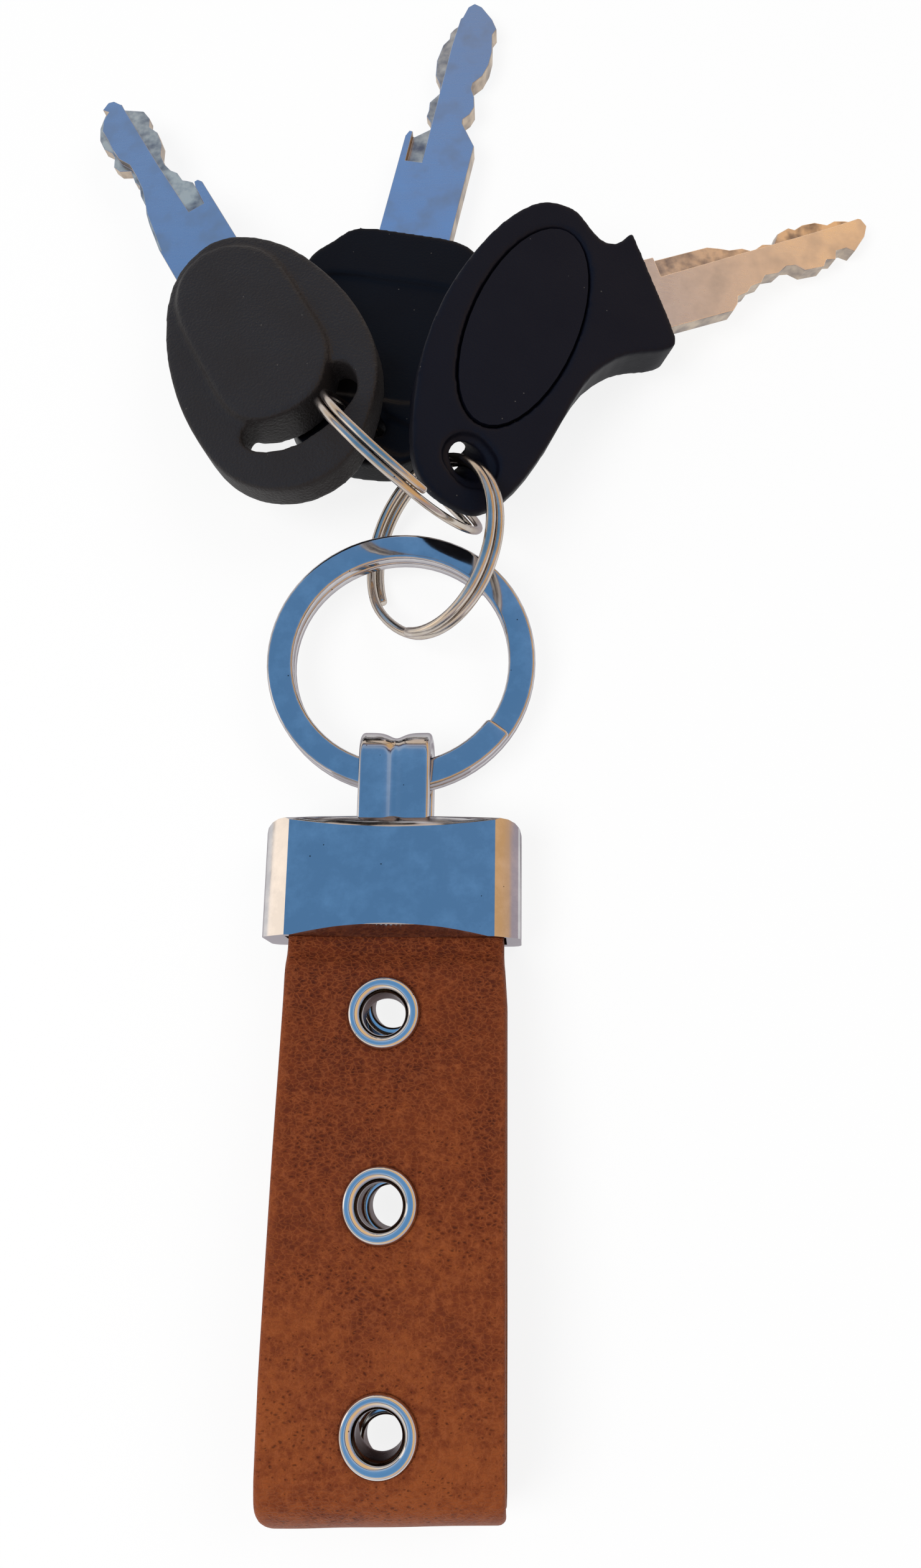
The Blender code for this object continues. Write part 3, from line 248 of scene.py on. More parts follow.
def new_material(name):
    """A material, its node tree and its main shader."""
    material = bpy.data.materials.new(name)
    material.use_nodes = True
    tree = material.node_tree
    return material, tree, tree.nodes["Principled BSDF"]


def per_mm(size):
    """Texture scale at which a pattern's feature is size millimetres in object coordinates."""
    return 1 / (size * MM)


def cognac_leather(dark_dye_and_painted_shade, light_dye_and_painted_light, worn_edge_and_painted_highlight):
    """Full-grain cowhide, aniline dyed and waxed: open pores, cloudy dye, painted lighter toward the fold."""
    material, tree, shader = new_material("cognac_waxed_full_grain_leather")
    place = add_node(tree, "TexCoord").outputs["Object"]
    clouds = add_node(tree, "TexNoise", {"Vector": place, "Scale": per_mm(11), "Detail": 3.0,
                                         "Roughness": 0.55})
    mottle = add_node(tree, "TexNoise", {"Vector": place, "Scale": per_mm(1.1), "Detail": 4.0,
                                         "Roughness": 0.7})
    mixed = add_node(tree, "Math", (clouds, 0.7, mottle), operation="MULTIPLY_ADD")
    # tone: cloudy dye, with painted shade at the clamp's end and painted light toward the fold
    along = add_node(tree, "SeparateXYZ", (place,)).outputs["Y"]
    painted_light_toward_fold = add_node(tree, "MapRange", (along, -0.006, -STRAP_LENGTH, -0.12, 0.34))
    depth = add_node(tree, "Math", (mixed, painted_light_toward_fold), operation="ADD")
    dye = add_node(tree, "MapRange", (depth, 0.45, 1.25))
    base = add_node(tree, "ValToRGB", (dye,), ((0.0, dark_dye_and_painted_shade), (0.35, "5A2511"), (0.65, "6E3116"),
                                               (1.0, light_dye_and_painted_light)))
    # grain: cells drawn out across the strap, with a painted highlight along their creases
    stretched = add_node(tree, "Mapping", {"Vector": place, "Scale": (0.6, 1.0, 1.0)})
    wander = add_node(tree, "TexNoise", {"Vector": place, "Scale": per_mm(0.8), "Detail": 2.0})
    drift = add_node(tree, "VectorMath", (wander.outputs["Color"], (GRAIN_DRIFT,) * 3),
                     operation="MULTIPLY")
    shifted = add_node(tree, "VectorMath", (stretched, drift))
    cells = add_node(tree, "TexVoronoi", {"Vector": shifted, "Scale": per_mm(GRAIN)},
                     feature="DISTANCE_TO_EDGE")
    crease = add_node(tree, "MapRange", (cells, 0.0, 0.16, 1.0, 0.0))
    # painted highlight: the creases lighter, patchy with the mottle, as low light makes them
    rubbed = add_node(tree, "Math", (crease, mottle), operation="MULTIPLY")
    lit = add_node(tree, "Mix", {"Factor": rubbed, "A": base, "B": linear("914E2A")}, data_type="RGBA")
    # pores: hair follicles in patches, with painted shade in their pits
    follicles = add_node(tree, "TexVoronoi", {"Vector": shifted, "Scale": per_mm(GRAIN)})
    crowded = add_node(tree, "TexNoise", {"Vector": place, "Scale": per_mm(7), "Detail": 3.0})
    reach = add_node(tree, "MapRange", (crowded, 0.4, 0.62, 0.1, 0.42))
    pore = add_node(tree, "MapRange", (follicles, 0.05, reach, 1.0, 0.0), interpolation_type="SMOOTHSTEP")
    shade = add_node(tree, "Math", (pore, 0.6), operation="MULTIPLY")
    dark = add_node(tree, "Mix", {"Factor": shade, "A": lit, "B": linear("2D100A")}, data_type="RGBA")
    # edges lighter, as worn leather is, and with a painted highlight of the light on their rounding
    edge = add_node(tree, "Attribute", attribute_name="edge").outputs["Fac"]
    worn = add_node(tree, "Math", (edge, 0.4), operation="MULTIPLY")
    colour = add_node(tree, "Mix", {"Factor": worn, "A": dark, "B": (*worn_edge_and_painted_highlight, 1.0)}, data_type="RGBA")
    # relief: the creases and pores lie lower than the cells, with a fine tooth over them all
    tooth = add_node(tree, "TexNoise", {"Vector": place, "Scale": per_mm(0.22), "Detail": 2.0})
    creased = add_node(tree, "Math", (crease, -0.8, tooth), operation="MULTIPLY_ADD")
    pitted = add_node(tree, "Math", (pore, -1.5, creased), operation="MULTIPLY_ADD")
    relief = add_node(tree, "Bump", {"Height": pitted, "Strength": 0.55, "Distance": 0.12 * MM})
    gloss = add_node(tree, "MapRange", (clouds, 0.0, 1.0, 0.42, 0.6))
    fill(shader, {"Base Color": colour, "Roughness": gloss, "Normal": relief, "Specular IOR Level": 0.15})
    return material


def flesh_side_leather():
    """Split leather, buffed: matt, fibrous, with the dye gone through unevenly."""
    material, tree, shader = new_material("buffed_split_leather")
    place = add_node(tree, "TexCoord").outputs["Object"]
    fibres = add_node(tree, "TexNoise", {"Vector": place, "Scale": per_mm(0.35), "Detail": 4.0,
                                         "Roughness": 0.7, "Distortion": 0.6})
    colour = add_node(tree, "ValToRGB", (fibres,), ((0.3, "562B15"), (0.75, "8E5229")))
    relief = add_node(tree, "Bump", {"Height": fibres, "Strength": 0.6, "Distance": 0.1 * MM})
    fill(shader, {"Base Color": colour, "Normal": relief, "Roughness": 0.85})
    return material


def nickel_plate(name, code, low, high, ripple):
    """Bright nickel plate: a mirror with faint wiping haze and a few pits.

    low and high bound its roughness. ripple is the height in mm of the slow waves under it.
    """
    material, tree, shader = new_material(name)
    place = add_node(tree, "TexCoord").outputs["Object"]
    haze = add_node(tree, "TexNoise", {"Vector": place, "Scale": per_mm(3.5), "Detail": 5.0,
                                       "Roughness": 0.65})
    gloss = add_node(tree, "MapRange", (haze, 0.35, 0.7, low, high))
    # pits: pin holes in the plating, 0.15 mm wide and some millimetres apart
    holes = add_node(tree, "TexVoronoi", {"Vector": place, "Scale": per_mm(1.9)})
    pit = add_node(tree, "MapRange", (holes, 0.035, 0.055, 1.0, 0.0))
    bloom = add_node(tree, "MapRange", (haze, 0.45, 0.8, 0.0, 0.45))
    bloomed = add_node(tree, "Mix", {"Factor": bloom, "A": linear(code), "B": linear("F4F0EE")},
                       data_type="RGBA")
    colour = add_node(tree, "Mix", {"Factor": pit, "A": bloomed, "B": linear("4A4744")}, data_type="RGBA")
    waves = add_node(tree, "TexNoise", {"Vector": place, "Scale": per_mm(4.5), "Detail": 1.0})
    relief = add_node(tree, "Bump", {"Height": waves, "Strength": 1.0, "Distance": ripple * MM})
    fill(shader, {"Base Color": colour, "Roughness": gloss, "Normal": relief, "Metallic": 1.0,
                  "Specular Tint": linear("B4AEB4")})
    return material


def milled_nickel_silver(name, heading, code):
    """Nickel silver blank, rolled and milled: satin, with fine lines along the blade."""
    material, tree, shader = new_material(name)
    place = add_node(tree, "TexCoord").outputs["Object"]
    along = add_node(tree, "Mapping", {"Vector": place, "Rotation": (0, 0, -math.radians(heading)),
                                       "Scale": (0.06, 1.0, 1.0)})
    lines = add_node(tree, "TexNoise", {"Vector": along, "Scale": per_mm(0.3), "Detail": 3.0})
    smears = add_node(tree, "TexNoise", {"Vector": place, "Scale": per_mm(4), "Detail": 4.0})
    worn = add_node(tree, "Math", (lines, 0.35, smears), operation="MULTIPLY_ADD")
    gloss = add_node(tree, "MapRange", (worn, 0.4, 0.9, 0.2, 0.36))
    tarnish = add_node(tree, "MapRange", (smears, 0.5, 0.75, 0.0, 0.35))
    colour = add_node(tree, "Mix", {"Factor": tarnish, "A": linear(code), "B": linear("A69C8C")},
                      data_type="RGBA")
    relief = add_node(tree, "Bump", {"Height": lines, "Strength": 0.12, "Distance": 0.04 * MM})
    fill(shader, {"Base Color": colour, "Roughness": gloss, "Normal": relief, "Metallic": 1.0})
    return material


def cut_metal(name, dark, light, roughness):
    """Bare metal left by a tool: finely scored, so that it mirrors only a blur of the sky."""
    material, tree, shader = new_material(name)
    place = add_node(tree, "TexCoord").outputs["Object"]
    marks = add_node(tree, "TexNoise", {"Vector": place, "Scale": per_mm(2.2), "Detail": 3.0})
    colour = add_node(tree, "ValToRGB", (marks,), ((0.3, dark), (0.62, light)))
    relief = add_node(tree, "Bump", {"Height": marks, "Strength": 0.3, "Distance": 0.06 * MM})
    fill(shader, {"Base Color": colour, "Normal": relief, "Metallic": 1.0, "Roughness": roughness})
    return material


def moulded_plastic(name, colour, grain, depth, roughness, gloss, heading=None):
    """Black moulded key head: the mould's spark-eroded grain, in mm, breaks up its gloss.

    Where heading is given, raised dots stand in rows along it on the sunk panel.
    """
    material, tree, shader = new_material(name)
    place = add_node(tree, "TexCoord").outputs["Object"]
    skin = add_node(tree, "TexNoise", {"Vector": place, "Scale": per_mm(grain), "Detail": 2.0})
    rubbed = add_node(tree, "TexNoise", {"Vector": place, "Scale": per_mm(7), "Detail": 4.0})
    rough = add_node(tree, "MapRange", (rubbed, 0.3, 0.7, roughness - 0.08, roughness + 0.08))
    # dust: pale specks 0.1 mm wide, some millimetres apart
    specks = add_node(tree, "TexVoronoi", {"Vector": place, "Scale": per_mm(2.2)})
    dust = add_node(tree, "MapRange", (specks, 0.03, 0.045, 0.5, 0.0))
    dusty = add_node(tree, "Mix", {"Factor": dust, "A": (*colour, 1.0), "B": linear("6A6560")},
                     data_type="RGBA")
    relief = add_node(tree, "Bump", {"Height": skin, "Strength": 0.8, "Distance": depth * MM})
    if heading is not None:
        pitch = math.tau / (DOT_PITCH * math.sqrt(2))
        rows = add_node(tree, "Mapping", {"Vector": place, "Scale": (pitch, pitch, pitch),
                                          "Rotation": (0, 0, math.radians(45 - heading))})
        axes = add_node(tree, "SeparateXYZ", (rows,)).outputs
        waves = [add_node(tree, "Math", (axes[axis],), operation="SINE") for axis in "XY"]
        dots = add_node(tree, "Math", waves, operation="MULTIPLY")
        panel = add_node(tree, "Attribute", attribute_name="panel").outputs["Fac"]
        raised = add_node(tree, "Math", (dots, panel), operation="MULTIPLY")
        relief = add_node(tree, "Bump", {"Height": raised, "Strength": 1.0, "Distance": 0.12 * MM,
                                         "Normal": relief})
    fill(shader, {"Base Color": dusty, "Roughness": rough, "Normal": relief, "Specular IOR Level": gloss})
    return material


MATERIALS = {}


def make_materials():
    """Make the materials, in the colours that the settings hold."""
    looks = bpy.context.scene.keyfob_looks
    MATERIALS.update({
        "leather": cognac_leather(looks.dark_dye_and_painted_shade, looks.light_dye_and_painted_light, looks.worn_edge_and_painted_highlight),
        "lining": flesh_side_leather(),
        "casting": nickel_plate("bright_nickel_on_zinc_casting", "C2C0C2", 0.05, 0.16, 0.006),
        "ring": nickel_plate("bright_nickel_on_flat_steel_wire", "C2C0C2", 0.05, 0.14, 0.008),
        "wire": nickel_plate("nickel_plated_spring_wire", "C6BCB0", 0.12, 0.26, 0.008),
        "eyelet": nickel_plate("nickel_plated_pressed_brass", "DCDDDC", 0.06, 0.14, 0.004),
        # the bore's dark brown is painted shade of the hole's inside
        "bore": nickel_plate("brass_bore_painted_shade", "5A4734", 0.22, 0.4, 0.004),
        "screw": nickel_plate("zinc_plated_steel_screw", "BFC0C0", 0.2, 0.35, 0.004),
        "left_head": moulded_plastic("spark_grained_black_nylon", looks.left_head, 0.34, 0.2, 0.58, 0.32),
        "mid_head": moulded_plastic("matt_black_nylon", looks.mid_head, 0.3, 0.04, 0.5, 0.14,
                                    HEADINGS["mid"]),
        "right_head": moulded_plastic("fine_grained_black_abs", looks.right_head, 0.25, 0.03, 0.56, 0.2),
        "milled_floor": cut_metal("fresh_milled_nickel_silver", "8E8484", "FFE8CC", 0.28),
        # the blades' side walls: duller as a cut edge is, and darker than the faces as painted shade
        "cut_edge": cut_metal("sheared_nickel_silver_edge_painted_shade", "8A807C", "C6B6A4", 0.42),
        # the blades' blue and warm-white tints are painted reflection of the sky each one mirrors
        "left_blade": milled_nickel_silver("milled_nickel_silver_left_painted_reflection", HEADINGS["left"], "AEBACE"),
        "mid_blade": milled_nickel_silver("milled_nickel_silver_mid_painted_reflection", HEADINGS["mid"], "B2C2DA"),
        "right_blade": milled_nickel_silver("milled_nickel_silver_right_painted_reflection", HEADINGS["right"], "FFF0E0"),
    })


def add_object(name, data):
    """An object in the scene that holds the data. A bmesh becomes a mesh."""
    if isinstance(data, bmesh.types.BMesh):
        mesh = bpy.data.meshes.new(name)
        data.to_mesh(mesh)
        data = mesh
    made = bpy.data.objects.new(name, data)
    bpy.context.scene.collection.objects.link(made)
    return made


def finish_node(node, key):
    """Give a CAD node that stays its finished material."""
    slots = NODES[node].data.materials
    slots.clear()
    slots.append(MATERIALS[key])


def finish_piece(name, shape, body, key, nodes, sharp=35):
    """Turn a bmesh into a piece that rides on body and stands for the CAD nodes.

    key names its material, or is a tuple of names, one for each material index. Edges of more
    than sharp degrees shade sharp.
    """
    obj = add_object(name, shape)
    shape.free()
    mesh = obj.data
    mesh.shade_smooth()
    mesh.set_sharp_from_angle(angle=math.radians(sharp))
    for part in (key if isinstance(key, tuple) else (key,)):
        mesh.materials.append(MATERIALS[part])
    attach(obj, body)
    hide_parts(*nodes)
    return obj


def limited(share):
    """A share, kept between 0 and 1."""
    return min(1.0, max(0.0, share))


def frame_at(place, *axes):
    """The frame at place with the three axes."""
    made = Matrix(axes).transposed().to_4x4()
    made.translation = place
    return made


def rounded_bar(shape, width, thick, corner, segments):
    """A rounded rectangle's outline as verts and edges, across local X, its middle at the origin."""
    made = bmesh.ops.create_grid(shape, x_segments=1, y_segments=1, size=0.5)
    bmesh.ops.scale(shape, vec=(width, thick, 1), verts=made["verts"])
    bmesh.ops.bevel(shape, geom=list(shape.verts), offset=corner, segments=segments, profile=0.5,
                    affect="VERTICES", material=-1)


def drawn(shape, frames, closed):
    """Draw the outline in shape along the frames. Its one face becomes the first cap."""
    bmesh.ops.transform(shape, matrix=frames[0], verts=shape.verts)
    edges = [edge for edge in shape.edges if edge.is_boundary]
    if closed:
        bmesh.ops.delete(shape, geom=list(shape.faces), context="FACES_ONLY")
    for before, after in zip(frames, frames[1:]):
        made = bmesh.ops.extrude_edge_only(shape, edges=edges)["geom"]
        verts = [item for item in made if isinstance(item, bmesh.types.BMVert)]
        edges = [item for item in made if isinstance(item, bmesh.types.BMEdge)]
        bmesh.ops.transform(shape, matrix=after @ before.inverted(), verts=verts)
    if closed:
        bmesh.ops.remove_doubles(shape, verts=shape.verts, dist=1e-6)
    else:
        bmesh.ops.contextual_create(shape, geom=edges)
    bmesh.ops.recalc_face_normals(shape, faces=shape.faces)


def seat_ends(station, seat):
    """Both ends of the flat that an eyelet presses into the leather, the clamp's side first."""
    height, rise = seat
    return [Vector((-station + EYELET_FLAT, height - rise * EYELET_FLAT)),
            Vector((-station - EYELET_FLAT, height + rise * EYELET_FLAT))]


def strap_line():
    """The strap's outer surface in its side view, as evenly spaced (y, z) points."""
    top = STRAP_LIFT + 2 * STRAP_THICK + LAYER_GAP
    inside = STRAP_IN_CLAMP - CLAMP_LENGTH / 2
    mouth = -CLAMP_LENGTH / 2
    front = [seat_ends(s, seat) for s, seat in zip(EYELET_STATIONS, FRONT_SEATS)]
    back = [seat_ends(s, seat)[::-1] for s, seat in zip(BACK_STATIONS, BACK_SEATS)][::-1]
    front_end, back_end = front[2][1], back[0][0]
    front_reach, back_reach = front_end[0] + STRAP_LENGTH, back_end[0] + STRAP_LENGTH
    drop = front_end[1] - back_end[1]
    knots = [Vector((inside, top)), Vector((mouth / 2, top)), Vector((mouth, top + MOUTH_SPREAD))]
    for pair in front:
        knots += pair
    knots += [Vector((front_end[0] - front_reach * FOLD_REACH, front_end[1] - drop * FOLD_DROPS[0])),
              Vector((-STRAP_LENGTH, back_end[1] + drop * FOLD_DROPS[1])),
              Vector((back_end[0] - back_reach * FOLD_REACH, back_end[1] + drop * FOLD_DROPS[2]))]
    # the leather touches the table between the two back eyelets nearest the fold
    knots += back[0] + [Vector(((back[0][1][0] + back[1][0][0]) / 2, 0))] + back[1] + back[2]
    knots += [Vector((mouth, STRAP_LIFT - MOUTH_SPREAD)), Vector((mouth / 2, STRAP_LIFT)),
              Vector((inside, STRAP_LIFT))]
    straight = [pair[0] for pair in front + back]
    ends = [2 * knots[0] - knots[1]] + knots + [2 * knots[-1] - knots[-2]]
    fine = []
    for p0, p1, p2, p3 in zip(ends, ends[1:], ends[2:], ends[3:]):
        for k in range(LINE_STEPS):
            t = k / LINE_STEPS
            if p1 in straight:
                fine.append(p1.lerp(p2, t))
            else:
                fine.append(0.5 * (2 * p1 + (p2 - p0) * t + (2 * p0 - 5 * p1 + 4 * p2 - p3) * t ** 2
                                   + (3 * p1 - p0 - 3 * p2 + p3) * t ** 3))
    fine.append(knots[-1])
    line, run = [fine[0]], 0.0
    for a, b in zip(fine, fine[1:]):
        length = (b - a).length
        while run + length >= STRAP_STEP:
            a = a.lerp(b, (STRAP_STEP - run) / length)
            length = (b - a).length
            line.append(a)
            run = 0.0
        run += length
    return line + [fine[-1]]


def strap_frames(depth):
    """Frames along the strap, depth below its outer surface: X across, Y outward."""
    line = strap_line()
    frames = []
    for i, point in enumerate(line):
        along = (line[min(i + 1, len(line) - 1)] - line[max(i - 1, 0)]).normalized()
        outward = Vector((0, along[1], -along[0]))
        down = limited(-point[0] / STRAP_LENGTH)
        out = limited((-point[0] - CLAMP_LENGTH / 2) / SPREAD_RUN)
        wide = 1 + (STRAP_SPREAD * out * (1 - down) + STRAP_FLARE * down) / strap_width()
        drift = STRAP_DRIFT * out * (1 + down)
        place = Vector((STRAP_OFFSET + drift, point[0], point[1])) - outward * depth
        frames.append(frame_at(place, Vector((wide, 0, 0)), outward, Vector((0, along[0], along[1]))))
    return frames


def strap_width():
    """The strap's width at the clamp."""
    low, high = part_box("strap_leather")
    return high[0] - low[0] - STRAP_FLARE


def eyelet_frames(side):
    """Frames of the three eyelets of the front (1) or back (-1) layer, Z out of the leather."""
    stations, asides, seats = ((EYELET_STATIONS, EYELET_SIDES, FRONT_SEATS) if side == 1 else
                               (BACK_STATIONS, BACK_SIDES, BACK_SEATS))
    frames = []
    for station, aside, (height, rise) in zip(stations, asides, seats):
        out = Vector((0, rise, 1)).normalized() * side
        place = Vector((STRAP_OFFSET + aside, -station, height))
        frames.append(frame_at(place, ACROSS, out.cross(ACROSS), out))
    return frames


def punched(shape):
    """Punch the six eyelet holes through a strap layer."""
    punches = bmesh.new()
    for side in (1, -1):
        for place in eyelet_frames(side):
            down = Matrix.Translation((0, 0, -STRAP_THICK / 2))
            bmesh.ops.create_cone(punches, cap_ends=True, segments=48, radius1=LEATHER_HOLE,
                                  radius2=LEATHER_HOLE, depth=1.8 * STRAP_THICK, matrix=place @ down)
    take_away(shape, punches)


def strap_shape(depth, thick, corner, swell, wave):
    """One leather layer round the whole loop, with its raised leather round the eyelets."""
    shape = bmesh.new()
    width = strap_width()
    rounded_bar(shape, width, thick, corner, 4)
    long_edges = [e for e in shape.edges if e.calc_length() > width / 2]
    bmesh.ops.subdivide_edges(shape, edges=long_edges, cuts=int(width / STRAP_STEP))
    edge = shape.verts.layers.float.new("edge")
    outer = shape.verts.layers.float.new("outer")
    for vert in shape.verts:
        # lighter along the sides: wear, and a painted highlight on the rounded edges
        vert[edge] = limited(1 - (width / 2 - abs(vert.co.x)) / EDGE_WEAR_AND_HIGHLIGHT)
        vert[outer] = 1.0 if vert.co.y > thick * 0.45 else 0.0
    drawn(shape, strap_frames(depth + thick / 2), False)
    for vert in shape.verts:
        # the fold's corners are worn round, the left one most
        worn = WORN_LEFT if vert.co.x < STRAP_OFFSET else WORN_RIGHT
        past = limited((worn - STRAP_LENGTH - vert.co.y) / worn)
        drawn_in = worn * (1 - math.sqrt(1 - past ** 2)) * abs(vert.co.x - STRAP_OFFSET) / (width / 2)
        vert.co.x += math.copysign(drawn_in * WORN_SHARE, STRAP_OFFSET - vert.co.x)
        near = limited((FOLD_RUN - STRAP_LENGTH - vert.co.y) / FOLD_RUN)
        vert.co.y += FOLD_SKEW * near * (vert.co.x - STRAP_OFFSET) / (width / 2)
    shape.normal_update()
    holes = [place.inverted() for side in (1, -1) for place in eyelet_frames(side)]
    moves = []
    for vert in shape.verts:
        rise = 0.0
        if vert[outer] > 0.5:
            for hole in holes:
                local = hole @ vert.co
                if abs(local.z) < SWELL_LAYER:
                    reach = math.hypot(local.x, local.y) - EYELET_FLANGE - SWELL_PLACE
                    rise += swell * math.exp(-(reach / SWELL_WIDTH) ** 2)
            rise += wave * noise.noise(vert.co * per_mm(WAVE))
        moves.append(vert.normal * rise)
    for vert, move in zip(shape.verts, moves):
        vert.co += move
    punched(shape)
    return shape


def strap_run():
    """Length of the strap's outer face from end to end, over the fold."""
    line = strap_line()
    return sum((b - a).length for a, b in zip(line, line[1:]))


def turned(profile, steps):
    """A closed profile of (radius, height) points spun into a ring."""
    shape = bmesh.new()
    verts = [shape.verts.new((r, 0, z)) for r, z in profile]
    edges = [shape.edges.new(pair) for pair in zip(verts, verts[1:] + verts[:1])]
    bmesh.ops.spin(shape, geom=verts + edges, cent=(0, 0, 0), axis=(0, 0, 1), angle=math.tau,
                   steps=steps, use_merge=True)
    bmesh.ops.remove_doubles(shape, verts=shape.verts, dist=1e-7)
    bmesh.ops.recalc_face_normals(shape, faces=shape.faces)
    return shape


def smooth_finish(obj, levels):
    """Subdivide a piece smoothly."""
    subdivide = obj.modifiers.new("smooth", "SUBSURF")
    subdivide.levels = levels
    subdivide.render_levels = levels


def blunted(frames, corner):
    """Add short steps past both ends, drawn in, for a cut wire's rounded ends."""
    steps = ((0.5, 0.94), (0.85, 0.8), (1.0, 0.6))
    front = [frames[0] @ Matrix.Translation((0, 0, corner * reach)) @ Matrix.Diagonal((size, size, 1, 1))
             for reach, size in reversed(steps)]
    back = [frames[-1] @ Matrix.Translation((0, 0, -corner * reach)) @ Matrix.Diagonal((size, size, 1, 1))
            for reach, size in steps]
    return front + frames + back


def winding(radius, start, crossing, upward, step, parts):
    """Frames of a wire that winds nearly twice: X outward, Y along the ring's axis.

    It keeps one layer until its own start comes round, steps over to the other layer
    across the crossing, and ends where that crossing began.
    """
    total = 720.0 - crossing
    count = int(round(total / 360 * parts))
    first, last = start + 360 - crossing, start + 360
    frames = []
    for i in range(count + 1):
        angle = start + total * i / count
        t = limited((angle - first) / (last - first))
        t = t * t * (3 - 2 * t)
        turn = Matrix.Rotation(math.radians(angle), 4, "Z")
        stand = Matrix(((1, 0, 0, 0), (0, 0, -1, 0), (0, 1, 0, 0), (0, 0, 0, 1)))
        frames.append(turn @ Matrix.Translation((radius, 0, upward * step * (0.5 - t))) @ stand)
    return frames


class StrapSettings(bpy.types.PropertyGroup):
    swell: FloatProperty(name="Swell", description="Rise of the leather round an eyelet's rim",
                         default=0.16 * MM, min=0, unit="LENGTH")
    wave: FloatProperty(name="Wave", description="Height of the leather's slow waves",
                        default=0.1 * MM, min=0, unit="LENGTH")
    corner: FloatProperty(name="Edge rounding", description="Radius of the burnished edges",
                          default=0.6 * MM, min=0, unit="LENGTH")


class RingSettings(bpy.types.PropertyGroup):
    wire_a: FloatProperty(name="First wire", description="Thickness of the first wire ring's wire",
                          default=WIRE_A, min=0.1 * MM, unit="LENGTH")
    wire_b: FloatProperty(name="Second wire", description="Thickness of the second wire ring's wire",
                          default=WIRE_B, min=0.1 * MM, unit="LENGTH")
    parts: IntProperty(name="Steps", description="Steps in one turn of a ring", default=RING_PARTS, min=12)


def colour_setting(name, description, code):
    """A colour that a user can change, its default from a hex code."""
    return FloatVectorProperty(name=name, description=description, default=linear(code)[:3],
                               min=0, max=1, subtype="COLOR")


class LookSettings(bpy.types.PropertyGroup):
    # The leather's dark and light ends hold painted shade at the clamp and painted light at the fold
    dark_dye_and_painted_shade: colour_setting("Dark dye", "Leather where the dye and wax lie deepest", "421A0D")
    light_dye_and_painted_light: colour_setting("Light dye", "Leather where the bend has pulled it lighter", "8C4721")
    # worn edges, partly a painted highlight of the light on their rounding
    worn_edge_and_painted_highlight: colour_setting("Worn edge", "Leather along its worn edges", "934C28")
    left_head: colour_setting("Left head", "Plastic of the left key's head", "232020")
    mid_head: colour_setting("Middle head", "Plastic of the middle key's head", "090A10")
    right_head: colour_setting("Right head", "Plastic of the right key's head", "0B0C16")


class KEYFOB_OT_strap(bpy.types.Operator):
    """Make the folded leather strap and its lining"""

    bl_idname = "keyfob.strap"
    bl_label = "Strap"

    def execute(self, context):
        settings = context.scene.keyfob_strap
        outer = strap_shape(0, SKIN + GLUE, settings.corner, settings.swell, settings.wave)
        inner = strap_shape(SKIN + FIT - GLUE, LINING + GLUE, LINING_CORNER, 0, 0)
        for side, shape, slot, node in (("outer", outer, "leather", "strap_leather"),
                                        ("inner", inner, "lining", "strap_lining")):
            layer = finish_piece(f"strap_{side}_layer", shape, "fob", slot, [node])
            strap_run()
        return {"FINISHED"}


class KEYFOB_OT_eyelets(bpy.types.Operator):
    """Make the six pressed eyelets and finish their washers"""

    bl_idname = "keyfob.eyelets"
    bl_label = "Eyelets"

    def execute(self, context):
        # the rolled dome, out to the flange and in to the bore
        dome = [(EYELET_CREST + (EYELET_FLANGE - EYELET_CREST) * math.cos(a),
                 EYELET_RIM + EYELET_DOME * math.sin(a)) for a in map(math.radians, range(0, 90, 20))]
        funnel = [(EYELET_CREST - (EYELET_CREST - EYELET_HOLE) * math.cos(a),
                   EYELET_BORE + EYELET_FUNNEL * math.sin(a)) for a in map(math.radians, range(90, -10, -20))]
        # bore, rolled foot, and back up the outside of the barrel
        bore = [(EYELET_HOLE, EYELET_BORE), (EYELET_HOLE, EYELET_BORE - EYELET_STRAIGHT)]
        roll = -STRAP_THICK - FIT - EYELET_ROLL
        foot = [(radius, roll + height) for radius, height in EYELET_FOOT]
        barrel = [(EYELET_BARREL, EYELET_MIDDLE), (EYELET_BARREL, EYELET_LIFT)]
        profile = [(EYELET_FLANGE, EYELET_LIFT)] + dome + funnel + bore + foot + barrel
        for layer, side in (("front", 1), ("back", -1)):
            for number, place in enumerate(eyelet_frames(side), 1):
                shape = turned(profile, 48)
                # the bore's faces take the second material, dark with painted shade
                for face in shape.faces:
                    middle = face.calc_center_median()
                    if middle.z < EYELET_BORE and math.hypot(middle.x, middle.y) < EYELET_HOLE + 0.1 * MM:
                        face.material_index = 1
                bmesh.ops.transform(shape, matrix=place, verts=shape.verts)
                name = f"eyelet_{layer}_{number}"
                smooth_finish(finish_piece(name + "_pressing", shape, "fob", ("eyelet", "bore"),
                                           [name], 180), 1)
                finish_node(f"washer_{layer}_{number}", "eyelet")
        return {"FINISHED"}


def welded(node):
    """A copy of a CAD node's mesh with its flat faces made whole."""
    shape = bmesh.new()
    shape.from_mesh(NODES[node].data)
    bmesh.ops.remove_doubles(shape, verts=shape.verts, dist=1e-6)
    bmesh.ops.dissolve_limit(shape, angle_limit=math.radians(1.5), verts=shape.verts, edges=shape.edges)
    return shape


def soften(shape, width, segments, angle, above=-1.0):
    """Round the edges that are sharper than angle and lie above a height, as casting leaves them."""
    hard = [edge for edge in shape.edges if edge.calc_face_angle(0) > math.radians(angle)
            and min(vert.co.z for vert in edge.verts) > above]
    bmesh.ops.bevel(shape, geom=hard, offset=width, segments=segments, profile=0.5, affect="EDGES",
                    clamp_overlap=True, material=-1)


